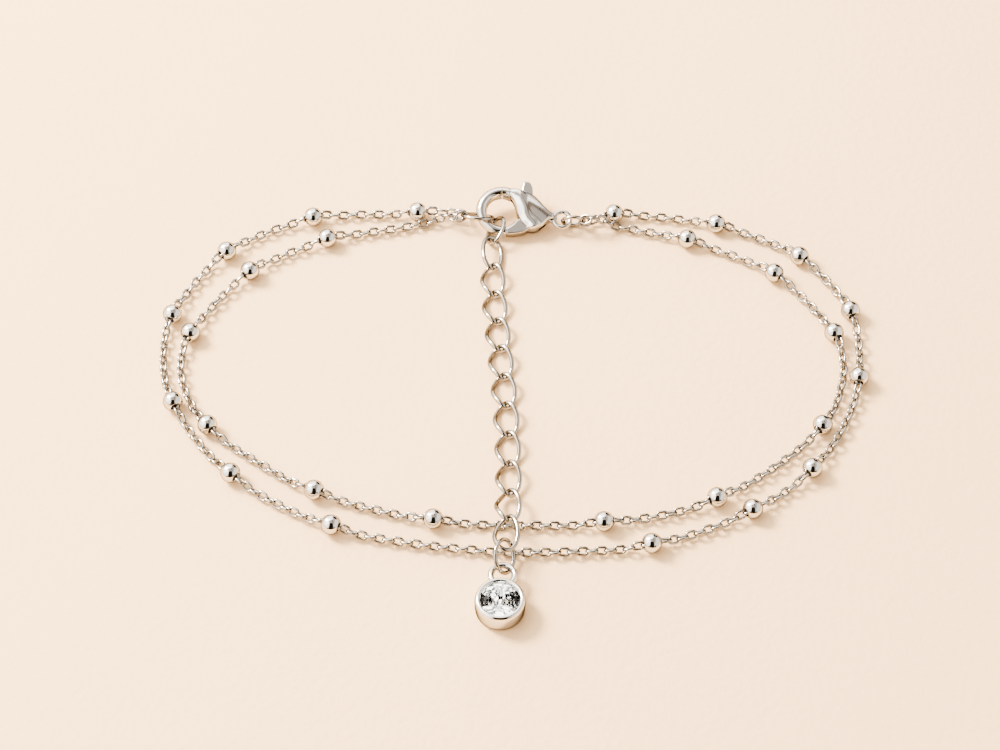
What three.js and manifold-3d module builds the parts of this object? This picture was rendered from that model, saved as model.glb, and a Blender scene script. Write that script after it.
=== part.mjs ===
// A two-strand station-bead bracelet, laid down and fastened round.
//
// Two fine cable chains run side by side from a jump ring on the left of the clasp, round the
// front, to a small jump ring on its right. Polished round beads sit on both at uneven stations.
// A lobster clasp closes the loop at the back. A curb extender of twelve links hangs on the
// clasp's hook, lies across the middle of the loop and ends in a jump ring with a stone drop.
//
// Millimetres, +Z up. The bracelet lies on z = 0, its origin under the middle of its outline:
// the clasp is at the back (+Y) and the drop at the front (-Y).

import * as THREE from "three";
import { ConvexGeometry } from "three/addons/geometries/ConvexGeometry.js";
import Module from "manifold-3d";

const wasm = await Module();
wasm.setup();

// ---------------------------------------------------------------- driving dimensions

const degrees = Math.PI / 180;

const bead = {
  radius: 1.025,
  halfLength: 0.86, // the ends are faced flat where the hole comes out
  hold: 0.96, // the chain runs straight this far each way from the bead's middle
  holeRadius: 0.5,
  sides: 12,
  bands: 4,
};

const chain = {
  radius: 0.42, // reach of the turned links from the chain's middle line
  sides: 8,
  hangHeight: 0.6, // middle line's height where it hangs between two beads
  riseLength: 2, // how far from a bead the chain has sunk to that height
  endRiseLength: 3.4, // the same from a jump ring
  lowHold: 1.2, // the chain lies on the floor this far each way from a low place
  longStep: 4,
  shortStep: 2.1,
};

const endLink = { halfLength: 0.71, halfWidth: 0.48, wireRadius: 0.14, sides: 6, steps: 14 };

const jumpWireRadius = 0.21;

const endRing = {
  centre: [-3.76, 24.12, 1.36],
  normal: [0.1, 0.66, 0.745],
  radius: 1.68,
  steps: 24,
};
const claspRing = {
  centre: [6.76, 23.52, 1.31],
  normal: [0, 0.94, 0.34],
  radius: 1.16,
  steps: 20,
};
const dropRing = {
  centre: [-0.86, -20.55, 2.0],
  normal: [0.835, -0.27, 0.477],
  radius: 1.65,
  steps: 24,
};

// Where each strand's end link hangs on its jump ring, as an angle round the ring.
const strandAngles = {
  outer: { onEndRing: 164 * degrees, onClaspRing: 23 * degrees },
  inner: { onEndRing: 196 * degrees, onClaspRing: -23 * degrees },
};

const curb = {
  wireRadius: 0.225,
  pitch: 3.72,
  gap: 0.07, // play between one link's wire and the next
  halfWidth: 1.175,
  sides: 6,
  steps: 20,
  twist: 45 * degrees, // each end of a link is turned this far, one way and the other
};

const firstLink = {
  centre: [-1.765, 22.43, 1.0],
  axis: [0.2, 0.97, 0.1],
  roll: 43 * degrees,
  halfLength: 1.64,
  halfWidth: 1.15,
};

const clasp = {
  centre: [-1.12, 24.67, 1.6], // middle of the hook's round opening
  tilt: 17 * degrees, // the far side lies this much higher
  hookRadius: 2.27,
  hookWireRadius: 0.55,
  hookSides: 10,
  cheekHalfThickness: 1.02,
  pivot: [2.45, 1.88], // in the clasp's own plane, from its centre
  pinRadius: 0.28,
  pinHalfLength: 0.72,
  boreRadius: 0.34,
  leverHalfThickness: 0.34,
  slotHalfThickness: 0.4,
  gateReach: 2.37, // from the pivot to the gate's tip
  gateRoot: 1.6, // from the pivot to where the gate's round part starts
  seam: 0.07,
};

const eyelet = { centre: [6.63, -0.98], radius: 0.91, wireRadius: 0.24 };

const setting = {
  centre: [-1.3, -25.54],
  turn: -5 * degrees,
  radius: 2.5,
  height: 2.3,
  bailDistance: 3.1,
  bailRadius: 1.18,
  bailWire: 0.3,
  bailHeightRatio: 1.25,
  bailMiddle: 1.45,
};

const stone = {
  radius: 1.99,
  tableRadius: 1.12,
  starRadius: 1.62,
  lowerRadius: 0.78, // where the lower girdle facets meet the pavilion's main ones
  tableHeight: 2.22,
  girdleTop: 1.78,
  girdleBottom: 1.7,
  culet: 0.42,
};

// ---------------------------------------------------------------- the strands' routes

// Each row is one place on the way round, from the end ring to the clasp ring.
// A bead holds the chain up, and a low place is under the extender.
const outerRoute = [
  { x: -7.4, y: 25.25 },
  { x: -10.4, y: 25.1, bead: true },
  { x: -21.9, y: 24.4, bead: true },
  { x: -31.1, y: 19.5, bead: true },
  { x: -36.3, y: 10.7, bead: true },
  { x: -36.8, y: 4.9 },
  { x: -35.3, y: -0.9, bead: true },
  { x: -28.7, y: -9.9, bead: true },
  { x: -18.2, y: -16.2, bead: true },
  { x: -9.8, y: -18.2 },
  { x: -1.3, y: -19.1, low: true },
  { x: 6.7, y: -19.1 },
  { x: 13.8, y: -18.4, bead: true },
  { x: 24.1, y: -14.3, bead: true },
  { x: 30.5, y: -9.3, bead: true },
  { x: 34.3, y: -3.6 },
  { x: 36.3, y: 2.3, bead: true },
  { x: 36.2, y: 11.2, bead: true },
  { x: 31.3, y: 18.8, bead: true },
  { x: 22.5, y: 23.4, bead: true },
  { x: 11.3, y: 24.9, bead: true },
];

const innerRoute = [
  { x: -7.1, y: 24.3 },
  { x: -9.6, y: 23.75 },
  { x: -12.3, y: 23.1 },
  { x: -20.2, y: 21.3, bead: true },
  { x: -28.4, y: 16.7, bead: true },
  { x: -34.2, y: 8.2, bead: true },
  { x: -34.9, y: 4.6 },
  { x: -34.4, y: 1.4 },
  { x: -31.5, y: -3.9, bead: true },
  { x: -26.2, y: -8.2 },
  { x: -20.1, y: -12.0, bead: true },
  { x: -8.0, y: -15.5, bead: true },
  { x: -1.3, y: -15.9, low: true },
  { x: 9.1, y: -15.8, bead: true },
  { x: 20.6, y: -12.9, bead: true },
  { x: 32.0, y: -3.9, bead: true },
  { x: 34.4, y: 1.4 },
  { x: 34.85, y: 4.6 },
  { x: 34.2, y: 8.2, bead: true },
  { x: 28.4, y: 16.4, bead: true },
  { x: 19.2, y: 21.2, bead: true },
  { x: 13.6, y: 22.8 },
  { x: 9.7, y: 23.5 },
];

// The extender's middle line, from the first link's lower end to the drop ring.
// It climbs over the inner strand and lies on the outer one.
const extenderRoute = [
  { x: -2.15, y: 21.1, z: 1.0 },
  { x: -2.05, y: 14.5, z: 0.69 },
  { x: -1.42, y: 6.7, z: 0.69 },
  { x: -0.75, y: -1.2, z: 0.69 },
  { x: -0.45, y: -8.8, z: 0.71 },
  { x: -0.45, y: -12.4, z: 1.0 },
  { x: -0.55, y: -16.0, z: 1.75 },
  { x: -0.8, y: -19.8, z: 2.2 },
];

// ---------------------------------------------------------------- materials

const silver = (shade, roughness = 0.12) =>
  new THREE.MeshStandardMaterial({ color: shade, metalness: 1, roughness });

const materials = {
  chain: () => silver(0xd8d4ce, 0.16),
  bead: () => silver(0xe2dfda, 0.06),
  ring: () => silver(0xdcd8d2, 0.1),
  clasp: () => silver(0xd9d5cf, 0.08),
  pin: () => silver(0xbdb8b0, 0.25),
  bezel: () => silver(0xdedbd6, 0.08),
  stone: () => new THREE.MeshStandardMaterial({ color: 0xf4f6f8, metalness: 0, roughness: 0.02 }),
};

// ---------------------------------------------------------------- solids

const vector = (values) => new THREE.Vector3(...values);

/** A geometry with one vertex wherever several lie together. */
function weld(geometry, distance = 1e-3) {
  const source = geometry.index ? geometry.toNonIndexed() : geometry;
  const position = source.attributes.position;
  const kept = [];
  const index = [];
  const point = new THREE.Vector3();
  for (let i = 0; i < position.count; i++) {
    point.fromBufferAttribute(position, i);
    let found = kept.findIndex((other) => other.distanceToSquared(point) < distance * distance);
    if (found < 0) found = kept.push(point.clone()) - 1;
    index.push(found);
  }
  const faces = [];
  for (let i = 0; i < index.length; i += 3) {
    const [a, b, c] = index.slice(i, i + 3);
    if (a !== b && b !== c && c !== a) faces.push(a, b, c);
  }
  const welded = new THREE.BufferGeometry().setFromPoints(kept);
  return welded.setIndex(faces);
}

/** A manifold-3d solid from a three.js geometry whose faces close on themselves. */
function solid(geometry) {
  const welded = weld(geometry);
  return new wasm.Manifold(
    new wasm.Mesh({
      numProp: 3,
      vertProperties: new Float32Array(welded.attributes.position.array),
      triVerts: new Uint32Array(welded.index.array),
    }),
  );
}

/** The three.js geometry of a manifold-3d solid. */
function geometryOf(body) {
  const mesh = body.getMesh();
  const positions = new Float32Array(mesh.numVert * 3);
  for (let i = 0; i < mesh.numVert; i++) {
    positions.set(mesh.vertProperties.subarray(i * mesh.numProp, i * mesh.numProp + 3), i * 3);
  }
  const geometry = new THREE.BufferGeometry();
  geometry.setAttribute("position", new THREE.BufferAttribute(positions, 3));
  geometry.setIndex(new THREE.BufferAttribute(new Uint32Array(mesh.triVerts), 1));
  geometry.computeVertexNormals();
  return geometry;
}

/** Adds one named piece to a group. */
function addPiece(group, name, geometry, material) {
  const piece = new THREE.Mesh(geometry, material);
  piece.name = name;
  group.add(piece);
  return piece;
}

/** A circle with straight sides, as the section of a wire. */
function circleShape(radius, sides) {
  const points = [];
  for (let i = 0; i < sides; i++) {
    const angle = (i / sides) * 2 * Math.PI;
    points.push(new THREE.Vector2(radius * Math.cos(angle), radius * Math.sin(angle)));
  }
  return new THREE.Shape(points);
}

/** A closed loop of wire: a tube that runs into itself, so its two end lids are left off. */
function wireLoop(points, wireRadius, sides, steps) {
  const path = new THREE.CatmullRomCurve3(points, true);
  const tube = new THREE.ExtrudeGeometry(circleShape(wireRadius, sides), {
    steps,
    extrudePath: path,
    curveSegments: 1,
  });
  const walls = tube.groups.find((part) => part.materialIndex === 1);
  const position = tube.attributes.position.array.slice(
    walls.start * 3,
    (walls.start + walls.count) * 3,
  );
  const loop = new THREE.BufferGeometry();
  loop.setAttribute("position", new THREE.BufferAttribute(position, 3));
  return loop;
}

/** A flat shape made a plate of the given half thickness, its middle on z = 0. */
function plate(shape, halfThickness, bevel = 0, bevelRise = bevel, segments = 8) {
  const geometry = new THREE.ExtrudeGeometry(shape, {
    depth: 2 * (halfThickness - bevelRise),
    curveSegments: segments,
    bevelEnabled: bevel > 0,
    bevelSize: bevel,
    bevelOffset: -bevel,
    bevelThickness: bevelRise,
    bevelSegments: 3,
  });
  geometry.translate(0, 0, -(halfThickness - bevelRise));
  return geometry;
}

/** A round bar along z, its middle on z = 0. */
function bar(radius, halfLength, sides, [x, y]) {
  const geometry = new THREE.CylinderGeometry(radius, radius, 2 * halfLength, sides);
  geometry.rotateX(Math.PI / 2);
  geometry.translate(x, y, 0);
  return geometry;
}

// ---------------------------------------------------------------- jump rings

/** Two directions in a ring's plane: the first is as near to +X as it can be. */
function ringFrame(ring) {
  const normal = vector(ring.normal).normalize();
  const along = new THREE.Vector3(1, 0, 0).addScaledVector(normal, -normal.x).normalize();
  const across = new THREE.Vector3().crossVectors(normal, along);
  return { centre: vector(ring.centre), normal, along, across };
}

/** A point of the ring's wire, and the way that the wire runs there. */
function onRing(ring, angle) {
  const { centre, along, across } = ringFrame(ring);
  const point = centre
    .clone()
    .addScaledVector(along, ring.radius * Math.cos(angle))
    .addScaledVector(across, ring.radius * Math.sin(angle));
  const tangent = along
    .clone()
    .multiplyScalar(-Math.sin(angle))
    .addScaledVector(across, Math.cos(angle));
  return { point, tangent };
}

function jumpRing(ring) {
  const { centre, normal, along, across } = ringFrame(ring);
  const geometry = new THREE.TorusGeometry(ring.radius, jumpWireRadius, 6, ring.steps);
  const place = new THREE.Matrix4().makeBasis(along, across, normal).setPosition(centre);
  return solid(geometry.applyMatrix4(place));
}

// ---------------------------------------------------------------- strands and beads

const smooth = (t) => (1 - Math.cos(Math.PI * THREE.MathUtils.clamp(t, 0, 1))) / 2;

/** A strand's middle line: a smooth curve in plan, lifted through each bead and at its ends. */
class StrandPath extends THREE.Curve {
  constructor(start, route, end) {
    super();
    this.plan = new THREE.CatmullRomCurve3(
      [start, ...route, end].map(({ x, y }) => new THREE.Vector3(x, y, 0)),
      false,
      "centripetal",
    );
    this.plan.arcLengthDivisions = 3000;
    this.length = this.plan.getLength();
    const lengths = this.plan.getLengths();
    const lengthAt = (i) => lengths[Math.round((i / (route.length + 1)) * (lengths.length - 1))];
    const middles = (kind) => route.map((place, i) => (place[kind] ? lengthAt(i + 1) : 0)).filter(Boolean);
    this.beads = middles("bead");
    this.lows = middles("low");
    this.keys = this.heightKeys(start.z, end.z);
    this.stations = this.cutStations();
  }

  /** Lengths along the strand, and its height there: up at each bead and end, down between. */
  heightKeys(startHeight, endHeight) {
    const held = [
      { s: 0, z: startHeight, hold: 0, rise: chain.endRiseLength },
      ...this.beads.map((s) => ({ s, z: bead.radius, hold: bead.hold, rise: chain.riseLength })),
      ...this.lows.map((s) => ({ s, z: chain.radius, hold: chain.lowHold, rise: chain.riseLength })),
      { s: this.length, z: endHeight, hold: 0, rise: chain.endRiseLength },
    ].sort((a, b) => a.s - b.s);
    const keys = [{ s: 0, z: startHeight }];
    for (let i = 1; i < held.length; i++) {
      const [from, to] = [held[i - 1], held[i]];
      const leave = from.s + from.hold;
      const reach = to.s - to.hold;
      if (from.hold) keys.push({ s: leave, z: from.z });
      if (reach - leave > from.rise + to.rise) {
        keys.push({ s: leave + from.rise, z: chain.hangHeight });
        keys.push({ s: reach - to.rise, z: chain.hangHeight });
      }
      keys.push({ s: reach, z: to.z });
    }
    return keys;
  }

  /** Lengths along the strand where its tube has a section. */
  cutStations() {
    const stations = [];
    for (let i = 1; i < this.keys.length; i++) {
      const [from, to] = [this.keys[i - 1], this.keys[i]];
      const span = to.s - from.s;
      const level = from.z === to.z;
      const held = level && span < 2.1 * bead.hold;
      const parts = held ? 1 : Math.ceil(span / (level ? chain.longStep : chain.shortStep));
      for (let k = 0; k < parts; k++) stations.push(from.s + (k / parts) * span);
    }
    stations.push(this.length);
    return stations;
  }

  /** Height of the middle line at a length along the strand. */
  height(s) {
    const i = Math.max(1, this.keys.findIndex((key) => key.s >= s - 1e-6));
    const [from, to] = [this.keys[i - 1], this.keys[i]];
    return from.z + (to.z - from.z) * smooth((s - from.s) / (to.s - from.s));
  }

  getPoint(t, target = new THREE.Vector3()) {
    this.plan.getPointAt(THREE.MathUtils.clamp(t, 0, 1), target);
    target.z = this.height(t * this.length);
    return target;
  }

  /** Steps along the tube go from station to station. */
  getUtoTmapping(u) {
    const at = THREE.MathUtils.clamp(u, 0, 1) * (this.stations.length - 1);
    const i = Math.min(Math.floor(at), this.stations.length - 2);
    const s = THREE.MathUtils.lerp(this.stations[i], this.stations[i + 1], at - i);
    return s / this.length;
  }
}

/** An end link on a jump ring: its solid, and where the strand leaves it. */
function strandEnd(ring, angle, towards) {
  const { point, tangent } = onRing(ring, angle);
  const out = towards.clone().sub(point);
  out.addScaledVector(tangent, -out.dot(tangent)).normalize();
  const side = new THREE.Vector3().crossVectors(tangent, out);
  const play = 0.07;
  const reach = endLink.halfLength - endLink.wireRadius - jumpWireRadius - play;
  const centre = point.clone().addScaledVector(out, reach);
  const points = [];
  for (let i = 0; i < 12; i++) {
    const angleHere = (i / 12) * 2 * Math.PI;
    points.push(
      centre
        .clone()
        .addScaledVector(out, endLink.halfLength * Math.cos(angleHere))
        .addScaledVector(side, endLink.halfWidth * Math.sin(angleHere)),
    );
  }
  const loop = solid(wireLoop(points, endLink.wireRadius, endLink.sides, endLink.steps));
  return { loop, leave: centre.clone().addScaledVector(out, endLink.halfLength - 0.08) };
}

function buildStrand(group, name, route, angles) {
  const first = route[0];
  const last = route[route.length - 1];
  const left = strandEnd(endRing, angles.onEndRing, new THREE.Vector3(first.x, first.y, 0.7));
  const right = strandEnd(claspRing, angles.onClaspRing, new THREE.Vector3(last.x, last.y, 0.8));
  const path = new StrandPath(left.leave, route, right.leave);
  const tube = new THREE.ExtrudeGeometry(circleShape(chain.radius, chain.sides), {
    steps: path.stations.length - 1,
    extrudePath: path,
    curveSegments: 1,
  });
  const whole = solid(tube).add(left.loop).add(right.loop);
  addPiece(group, name + "_strand", geometryOf(whole), materials.chain());
  path.beads.forEach((middle, i) => {
    const label = String(i + 1).padStart(2, "0");
    const piece = addPiece(group, name + "_bead_" + label, beadGeometry(), materials.bead());
    const ahead = path.getPoint((middle + bead.hold) / path.length);
    const behind = path.getPoint((middle - bead.hold) / path.length);
    piece.position.lerpVectors(behind, ahead, 0.5);
    piece.rotation.z = Math.atan2(ahead.y - behind.y, ahead.x - behind.x) - Math.PI / 2;
  });
  return path;
}

/** A drilled round bead, its hole along y. */
function beadGeometry() {
  const start = Math.asin(bead.halfLength / bead.radius);
  const profile = [];
  for (let i = 0; i <= bead.bands; i++) {
    const angle = -start + (2 * start * i) / bead.bands;
    profile.push(new THREE.Vector2(bead.radius * Math.cos(angle), bead.radius * Math.sin(angle)));
  }
  profile.push(new THREE.Vector2(bead.holeRadius, bead.halfLength));
  profile.push(new THREE.Vector2(bead.holeRadius, -bead.halfLength));
  profile.push(profile[0].clone());
  return geometryOf(solid(new THREE.LatheGeometry(profile, bead.sides)));
}

// ---------------------------------------------------------------- extender

/** The wire of a curb link along local y: each end is turned about the link's length. */
function curbLink({ halfLength, halfWidth, farTurn, nearTurn, steps = curb.steps }) {
  const points = [];
  const corners = 16;
  for (let i = 0; i < corners; i++) {
    const angle = (i / corners) * 2 * Math.PI;
    const y = halfLength * Math.sin(angle);
    const turn = THREE.MathUtils.lerp(nearTurn, farTurn, (y / halfLength + 1) / 2);
    const reach = halfWidth * Math.sign(Math.cos(angle)) * Math.abs(Math.cos(angle)) ** 0.92;
    points.push(new THREE.Vector3(reach * Math.cos(turn), y, reach * Math.sin(turn)));
  }
  return geometryOf(solid(wireLoop(points, curb.wireRadius, curb.sides, steps)));
}

/** Places a link so that its local y runs along the axis and its x stays level. */
function layAlong(piece, centre, axis) {
  const y = axis.clone().normalize();
  const x = new THREE.Vector3().crossVectors(y, new THREE.Vector3(0, 0, 1)).normalize();
  const z = new THREE.Vector3().crossVectors(x, y);
  piece.quaternion.setFromRotationMatrix(new THREE.Matrix4().makeBasis(x, y, z));
  piece.position.copy(centre);
}

/** Points along the extender, one pitch apart, where one link hangs in the next. */
function extenderJoints(count) {
  const route = new THREE.CatmullRomCurve3(
    extenderRoute.map(({ x, y, z }) => new THREE.Vector3(x, y, z)),
    false,
    "centripetal",
  );
  const joints = [route.getPoint(0)];
  let t = 0;
  while (joints.length < count) {
    const last = joints[joints.length - 1];
    while (t < 1 && route.getPoint(t).distanceTo(last) < curb.pitch) t += 0.0005;
    joints.push(route.getPoint(Math.min(t, 1)));
  }
  return joints;
}

function buildExtender(group) {
  const halfLength = (curb.pitch + 2 * curb.wireRadius + curb.gap) / 2;
  const common = { halfLength, halfWidth: curb.halfWidth };
  const twisted = { ...common, farTurn: curb.twist, nearTurn: -curb.twist };
  const second = { ...common, farTurn: -31 * degrees, nearTurn: -34 * degrees };
  const lastLink = { ...common, farTurn: 45 * degrees, nearTurn: 25 * degrees };
  const first = {
    halfLength: firstLink.halfLength,
    halfWidth: firstLink.halfWidth,
    farTurn: firstLink.roll,
    nearTurn: firstLink.roll,
  };
  const piece = addPiece(group, "extender_link_01", curbLink(first), materials.ring());
  layAlong(piece, vector(firstLink.centre), vector(firstLink.axis));

  const joints = extenderJoints(12);
  for (let i = 0; i < 11; i++) {
    const shape = i === 0 ? second : i === 10 ? lastLink : twisted;
    const name = "extender_link_" + String(i + 2).padStart(2, "0");
    const link = addPiece(group, name, curbLink(shape), materials.ring());
    const centre = joints[i].clone().add(joints[i + 1]).multiplyScalar(0.5);
    layAlong(link, centre, joints[i].clone().sub(joints[i + 1]));
  }
}

// ---------------------------------------------------------------- clasp

const polar = ([x, y], radius, angle) => [x + radius * Math.cos(angle), y + radius * Math.sin(angle)];

/** A shape through points with straight sides. */
const polygon = (points) => new THREE.Shape(points.map(([x, y]) => new THREE.Vector2(x, y)));

/** Points on an arc, in degrees. */
function arcPoints(centre, radius, from, to, count) {
  const points = [];
  for (let i = 0; i <= count; i++) {
    points.push(polar(centre, radius, (from + ((to - from) * i) / count) * degrees));
  }
  return points;
}

/** Round wire bent along the hook's circle, from one angle to another, in degrees. */
function hookWire(from, to, steps) {
  const arc = arcPoints([0, 0], clasp.hookRadius, from, to, steps);
  const path = new THREE.CatmullRomCurve3(arc.map(([x, y]) => new THREE.Vector3(x, y, 0)));
  return solid(
    new THREE.ExtrudeGeometry(circleShape(clasp.hookWireRadius, clasp.hookSides), {
      steps,
      extrudePath: path,
      curveSegments: 1,
    }),
  );
}

/** The cheeks' outline: round the opening, over the lever's knuckle, and down to the tail. */
function cheekOutline() {
  const shape = new THREE.Shape();
  const inner = arcPoints([0, 0], clasp.hookRadius - clasp.hookWireRadius, -28, 50, 8);
  const knuckle = arcPoints(clasp.pivot, clasp.gateRoot - clasp.seam, 200, 152, 4);
  const start = [...inner, ...knuckle];
  shape.moveTo(...start[0]);
  start.slice(1).forEach((point) => shape.lineTo(...point));
  shape.bezierCurveTo(1.7, 2.55, 2.3, 2.25, 2.9, 2.08);
  shape.bezierCurveTo(3.5, 1.9, 3.9, 1.5, 4.22, 1.06);
  shape.bezierCurveTo(4.6, 0.55, 5.0, 0.1, 5.7, -0.45);
  shape.lineTo(5.75, -1.1);
  shape.bezierCurveTo(5.3, -1.05, 4.9, -1.5, 4.4, -1.95);
  shape.bezierCurveTo(3.95, -2.3, 3.4, -2.42, 3.0, -2.36);
  shape.bezierCurveTo(2.4, -2.25, 1.85, -1.7, ...start[0]);
  return shape;
}

/** The cheeks' side view: as thin as the hook at the gate, then thick, and thin at the tail. */
function cheekTaper() {
  const thick = clasp.cheekHalfThickness + 0.1;
  const upper = [
    [6, 0.46],
    [4.2, 0.86],
    [2.9, thick],
    [1.9, thick],
    [0.6, 0.66],
  ];
  const lower = upper.map(([x, z]) => [x, -z]).reverse();
  const side = polygon([...upper, ...lower]);
  return solid(plate(side, 4).rotateX(Math.PI / 2));
}

/** The hook's root: it flares from the wire to the cheeks and has a flat face. */
function hookRoot() {
  const shape = polygon([
    ...arcPoints([0, 0], clasp.hookRadius - clasp.hookWireRadius + 0.03, -73, -25, 4),
    [2.6, -1.0],
    [3.1, -2.25],
    [2.4, -2.66],
    [1.4, -2.86],
    [0.7, -2.88],
    [0.5, -2.82],
  ]);
  return solid(plate(shape, 0.58, 0.2));
}

/** The short slot in the lower edge, through which the lever's spring was put in. */
function springSlot() {
  const shape = polygon([
    [4.05, -2.3],
    [4.9, -1.9],
    [4.75, -1.25],
    [4.0, -1.5],
  ]);
  return solid(plate(shape, 0.3));
}

/** The pocket between the cheeks in which the lever turns. */
function leverPocket() {
  const p = clasp.pivot;
  const shape = polygon([
    ...arcPoints(p, 0.74, 255, 345, 8),
    [3.53, 1.78],
    [3.41, 2.95],
    [3.4, 3.6],
    ...arcPoints(p, 2.2, 80, 160, 6),
    ...arcPoints(p, 1.9, 170, 236, 6),
  ]);
  return solid(plate(shape, clasp.slotHalfThickness));
}

/** The space that the gate's round part needs as it swings into the opening. */
function gateSweep() {
  const p = clasp.pivot;
  const shape = polygon([
    ...arcPoints(p, clasp.gateReach + clasp.seam, 150, 243, 16),
    ...arcPoints(p, clasp.gateRoot - clasp.seam, 243, 150, 10),
  ]);
  return solid(plate(shape, 1.3));
}

function buildClaspBody(group) {
  const p = clasp.pivot;
  const eyeletRing = new THREE.TorusGeometry(eyelet.radius, eyelet.wireRadius, 8, 20);
  eyeletRing.translate(...eyelet.centre, 0);
  const web = polygon([
    [5.1, -0.3],
    ...arcPoints(eyelet.centre, eyelet.radius, 145, 215, 4),
    [5.1, -1.1],
  ]);
  const body = solid(plate(cheekOutline(), clasp.cheekHalfThickness, 0.26, 0.4, 4))
    .intersect(cheekTaper())
    .subtract(leverPocket())
    .subtract(springSlot())
    .add(hookRoot())
    .subtract(gateSweep())
    .add(hookWire(80, 322, 22).subtract(solid(bar(clasp.gateReach + clasp.seam, 2, 40, p))))
    .add(solid(plate(web, 0.19)))
    .add(solid(eyeletRing))
    .subtract(solid(bar(clasp.boreRadius, clasp.pinHalfLength + 0.05, 16, p)));
  return addPiece(group, "clasp_body", geometryOf(body), materials.clasp());
}

function buildClaspLever(group) {
  const p = clasp.pivot;
  const arm = polygon([
    ...arcPoints(p, 0.64, 200, 350, 8),
    [3.42, 1.86],
    [3.3, 2.92],
    [3.1, 3.36],
    [2.8, 3.52],
    [2.52, 3.4],
    [2.4, 3.05],
    [2.25, 2.42],
    [1.9, 2.3],
    [0.85, 2.33],
    [0.8, 1.72],
    [1.4, 1.6],
  ]);
  const gate = hookWire(50, 100, 8)
    .intersect(solid(bar(clasp.gateReach, 2, 40, p)))
    .subtract(solid(bar(clasp.gateRoot, 2, 32, p)));
  const lever = gate
    .add(solid(plate(arm, clasp.leverHalfThickness, 0.08)))
    .subtract(solid(bar(clasp.boreRadius, 2, 16, p)));
  return addPiece(group, "clasp_lever", geometryOf(lever), materials.clasp());
}

function buildClasp(group) {
  const frame = new THREE.Group();
  frame.position.set(...clasp.centre);
  frame.rotation.x = clasp.tilt;
  group.add(frame);
  buildClaspBody(frame);
  buildClaspLever(frame);
  const pin = solid(bar(clasp.pinRadius, clasp.pinHalfLength, 16, clasp.pivot));
  addPiece(frame, "clasp_pin", geometryOf(pin), materials.pin());
}

// ---------------------------------------------------------------- stone drop

/** The bezel cup: a closed back, a rounded wall and a lip over the stone's edge. */
function bezelCup() {
  const top = setting.height;
  const profile = [
    [0, 0],
    [2.12, 0],
    [2.36, 0.16],
    [2.47, 0.5],
    [setting.radius, 1.1],
    [2.48, 1.8],
    [2.38, 2.12],
    [2.2, top],
    [2.02, 2.2],
    [1.9, 2.02],
    [1.94, 1.92],
    [2.08, 1.84],
    [2.08, 1.6],
    [0.35, 0.28],
    [0, 0.28],
  ];
  return solid(
    new THREE.LatheGeometry(
      profile.map(([r, z]) => new THREE.Vector2(r, z)),
      28,
    ).rotateX(Math.PI / 2),
  );
}

/** The bail: an upright-banded ring soldered to the back of the cup. */
function bail() {
  const ring = new THREE.TorusGeometry(setting.bailRadius, setting.bailWire, 8, 24);
  ring.scale(1, 1, setting.bailHeightRatio);
  ring.translate(0, setting.bailDistance, setting.bailMiddle);
  return solid(ring).subtract(solid(bar(2.25, 4, 32, [0, 0])));
}

/** A round brilliant: table, stars, kites, upper girdle, pavilion mains and lower girdle. */
function brilliant() {
  const points = [];
  const put = (radius, angle, z) =>
    points.push(new THREE.Vector3(radius * Math.cos(angle), radius * Math.sin(angle), z));
  const half = Math.cos(22.5 * degrees);
  const crownSlope = (stone.tableHeight - stone.girdleTop) / (stone.radius - stone.tableRadius);
  const starHeight = stone.tableHeight - (stone.starRadius * half - stone.tableRadius) * crownSlope;
  const lowerSlope = (stone.girdleBottom - stone.culet) / stone.radius;
  const lowerHeight = stone.culet + stone.lowerRadius * half * lowerSlope;
  for (let k = 0; k < 8; k++) {
    const angle = k * 45 * degrees;
    const between = angle + 22.5 * degrees;
    put(stone.tableRadius, angle, stone.tableHeight);
    put(stone.starRadius, between, starHeight);
    for (const at of [angle, between]) {
      put(stone.radius, at, stone.girdleTop);
      put(stone.radius, at, stone.girdleBottom);
    }
    put(stone.lowerRadius, between, lowerHeight);
  }
  put(0, 0, stone.culet);
  return geometryOf(solid(new ConvexGeometry(points)));
}

function buildDrop(group) {
  const frame = new THREE.Group();
  frame.position.set(...setting.centre, 0);
  frame.rotation.z = setting.turn;
  group.add(frame);
  addPiece(frame, "drop_setting", geometryOf(bezelCup().add(bail())), materials.bezel());
  addPiece(frame, "drop_stone", brilliant(), materials.stone());
}

// ---------------------------------------------------------------- the bracelet

const bracelet = new THREE.Group();

buildStrand(bracelet, "outer", outerRoute, strandAngles.outer);
buildStrand(bracelet, "inner", innerRoute, strandAngles.inner);
addPiece(bracelet, "end_jump_ring", geometryOf(jumpRing(endRing)), materials.ring());
addPiece(bracelet, "clasp_jump_ring", geometryOf(jumpRing(claspRing)), materials.ring());
addPiece(bracelet, "drop_jump_ring", geometryOf(jumpRing(dropRing)), materials.ring());
buildExtender(bracelet);
buildClasp(bracelet);
buildDrop(bracelet);

export default bracelet;
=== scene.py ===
# %% [markdown]
# # A two-strand station-bead bracelet
# The bracelet lies fastened, in a wide loop on a warm table top: the clasp is at the back and
# the stone drop at the front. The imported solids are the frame. This lesson dresses them with
# the fine chain, the smooth beads and the polish that the plain solids leave out, and every
# new piece stands where its solid is.

# %% Load the frame
import math

import bmesh
import bpy
import numpy as np
from mathutils import Matrix, Vector


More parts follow.
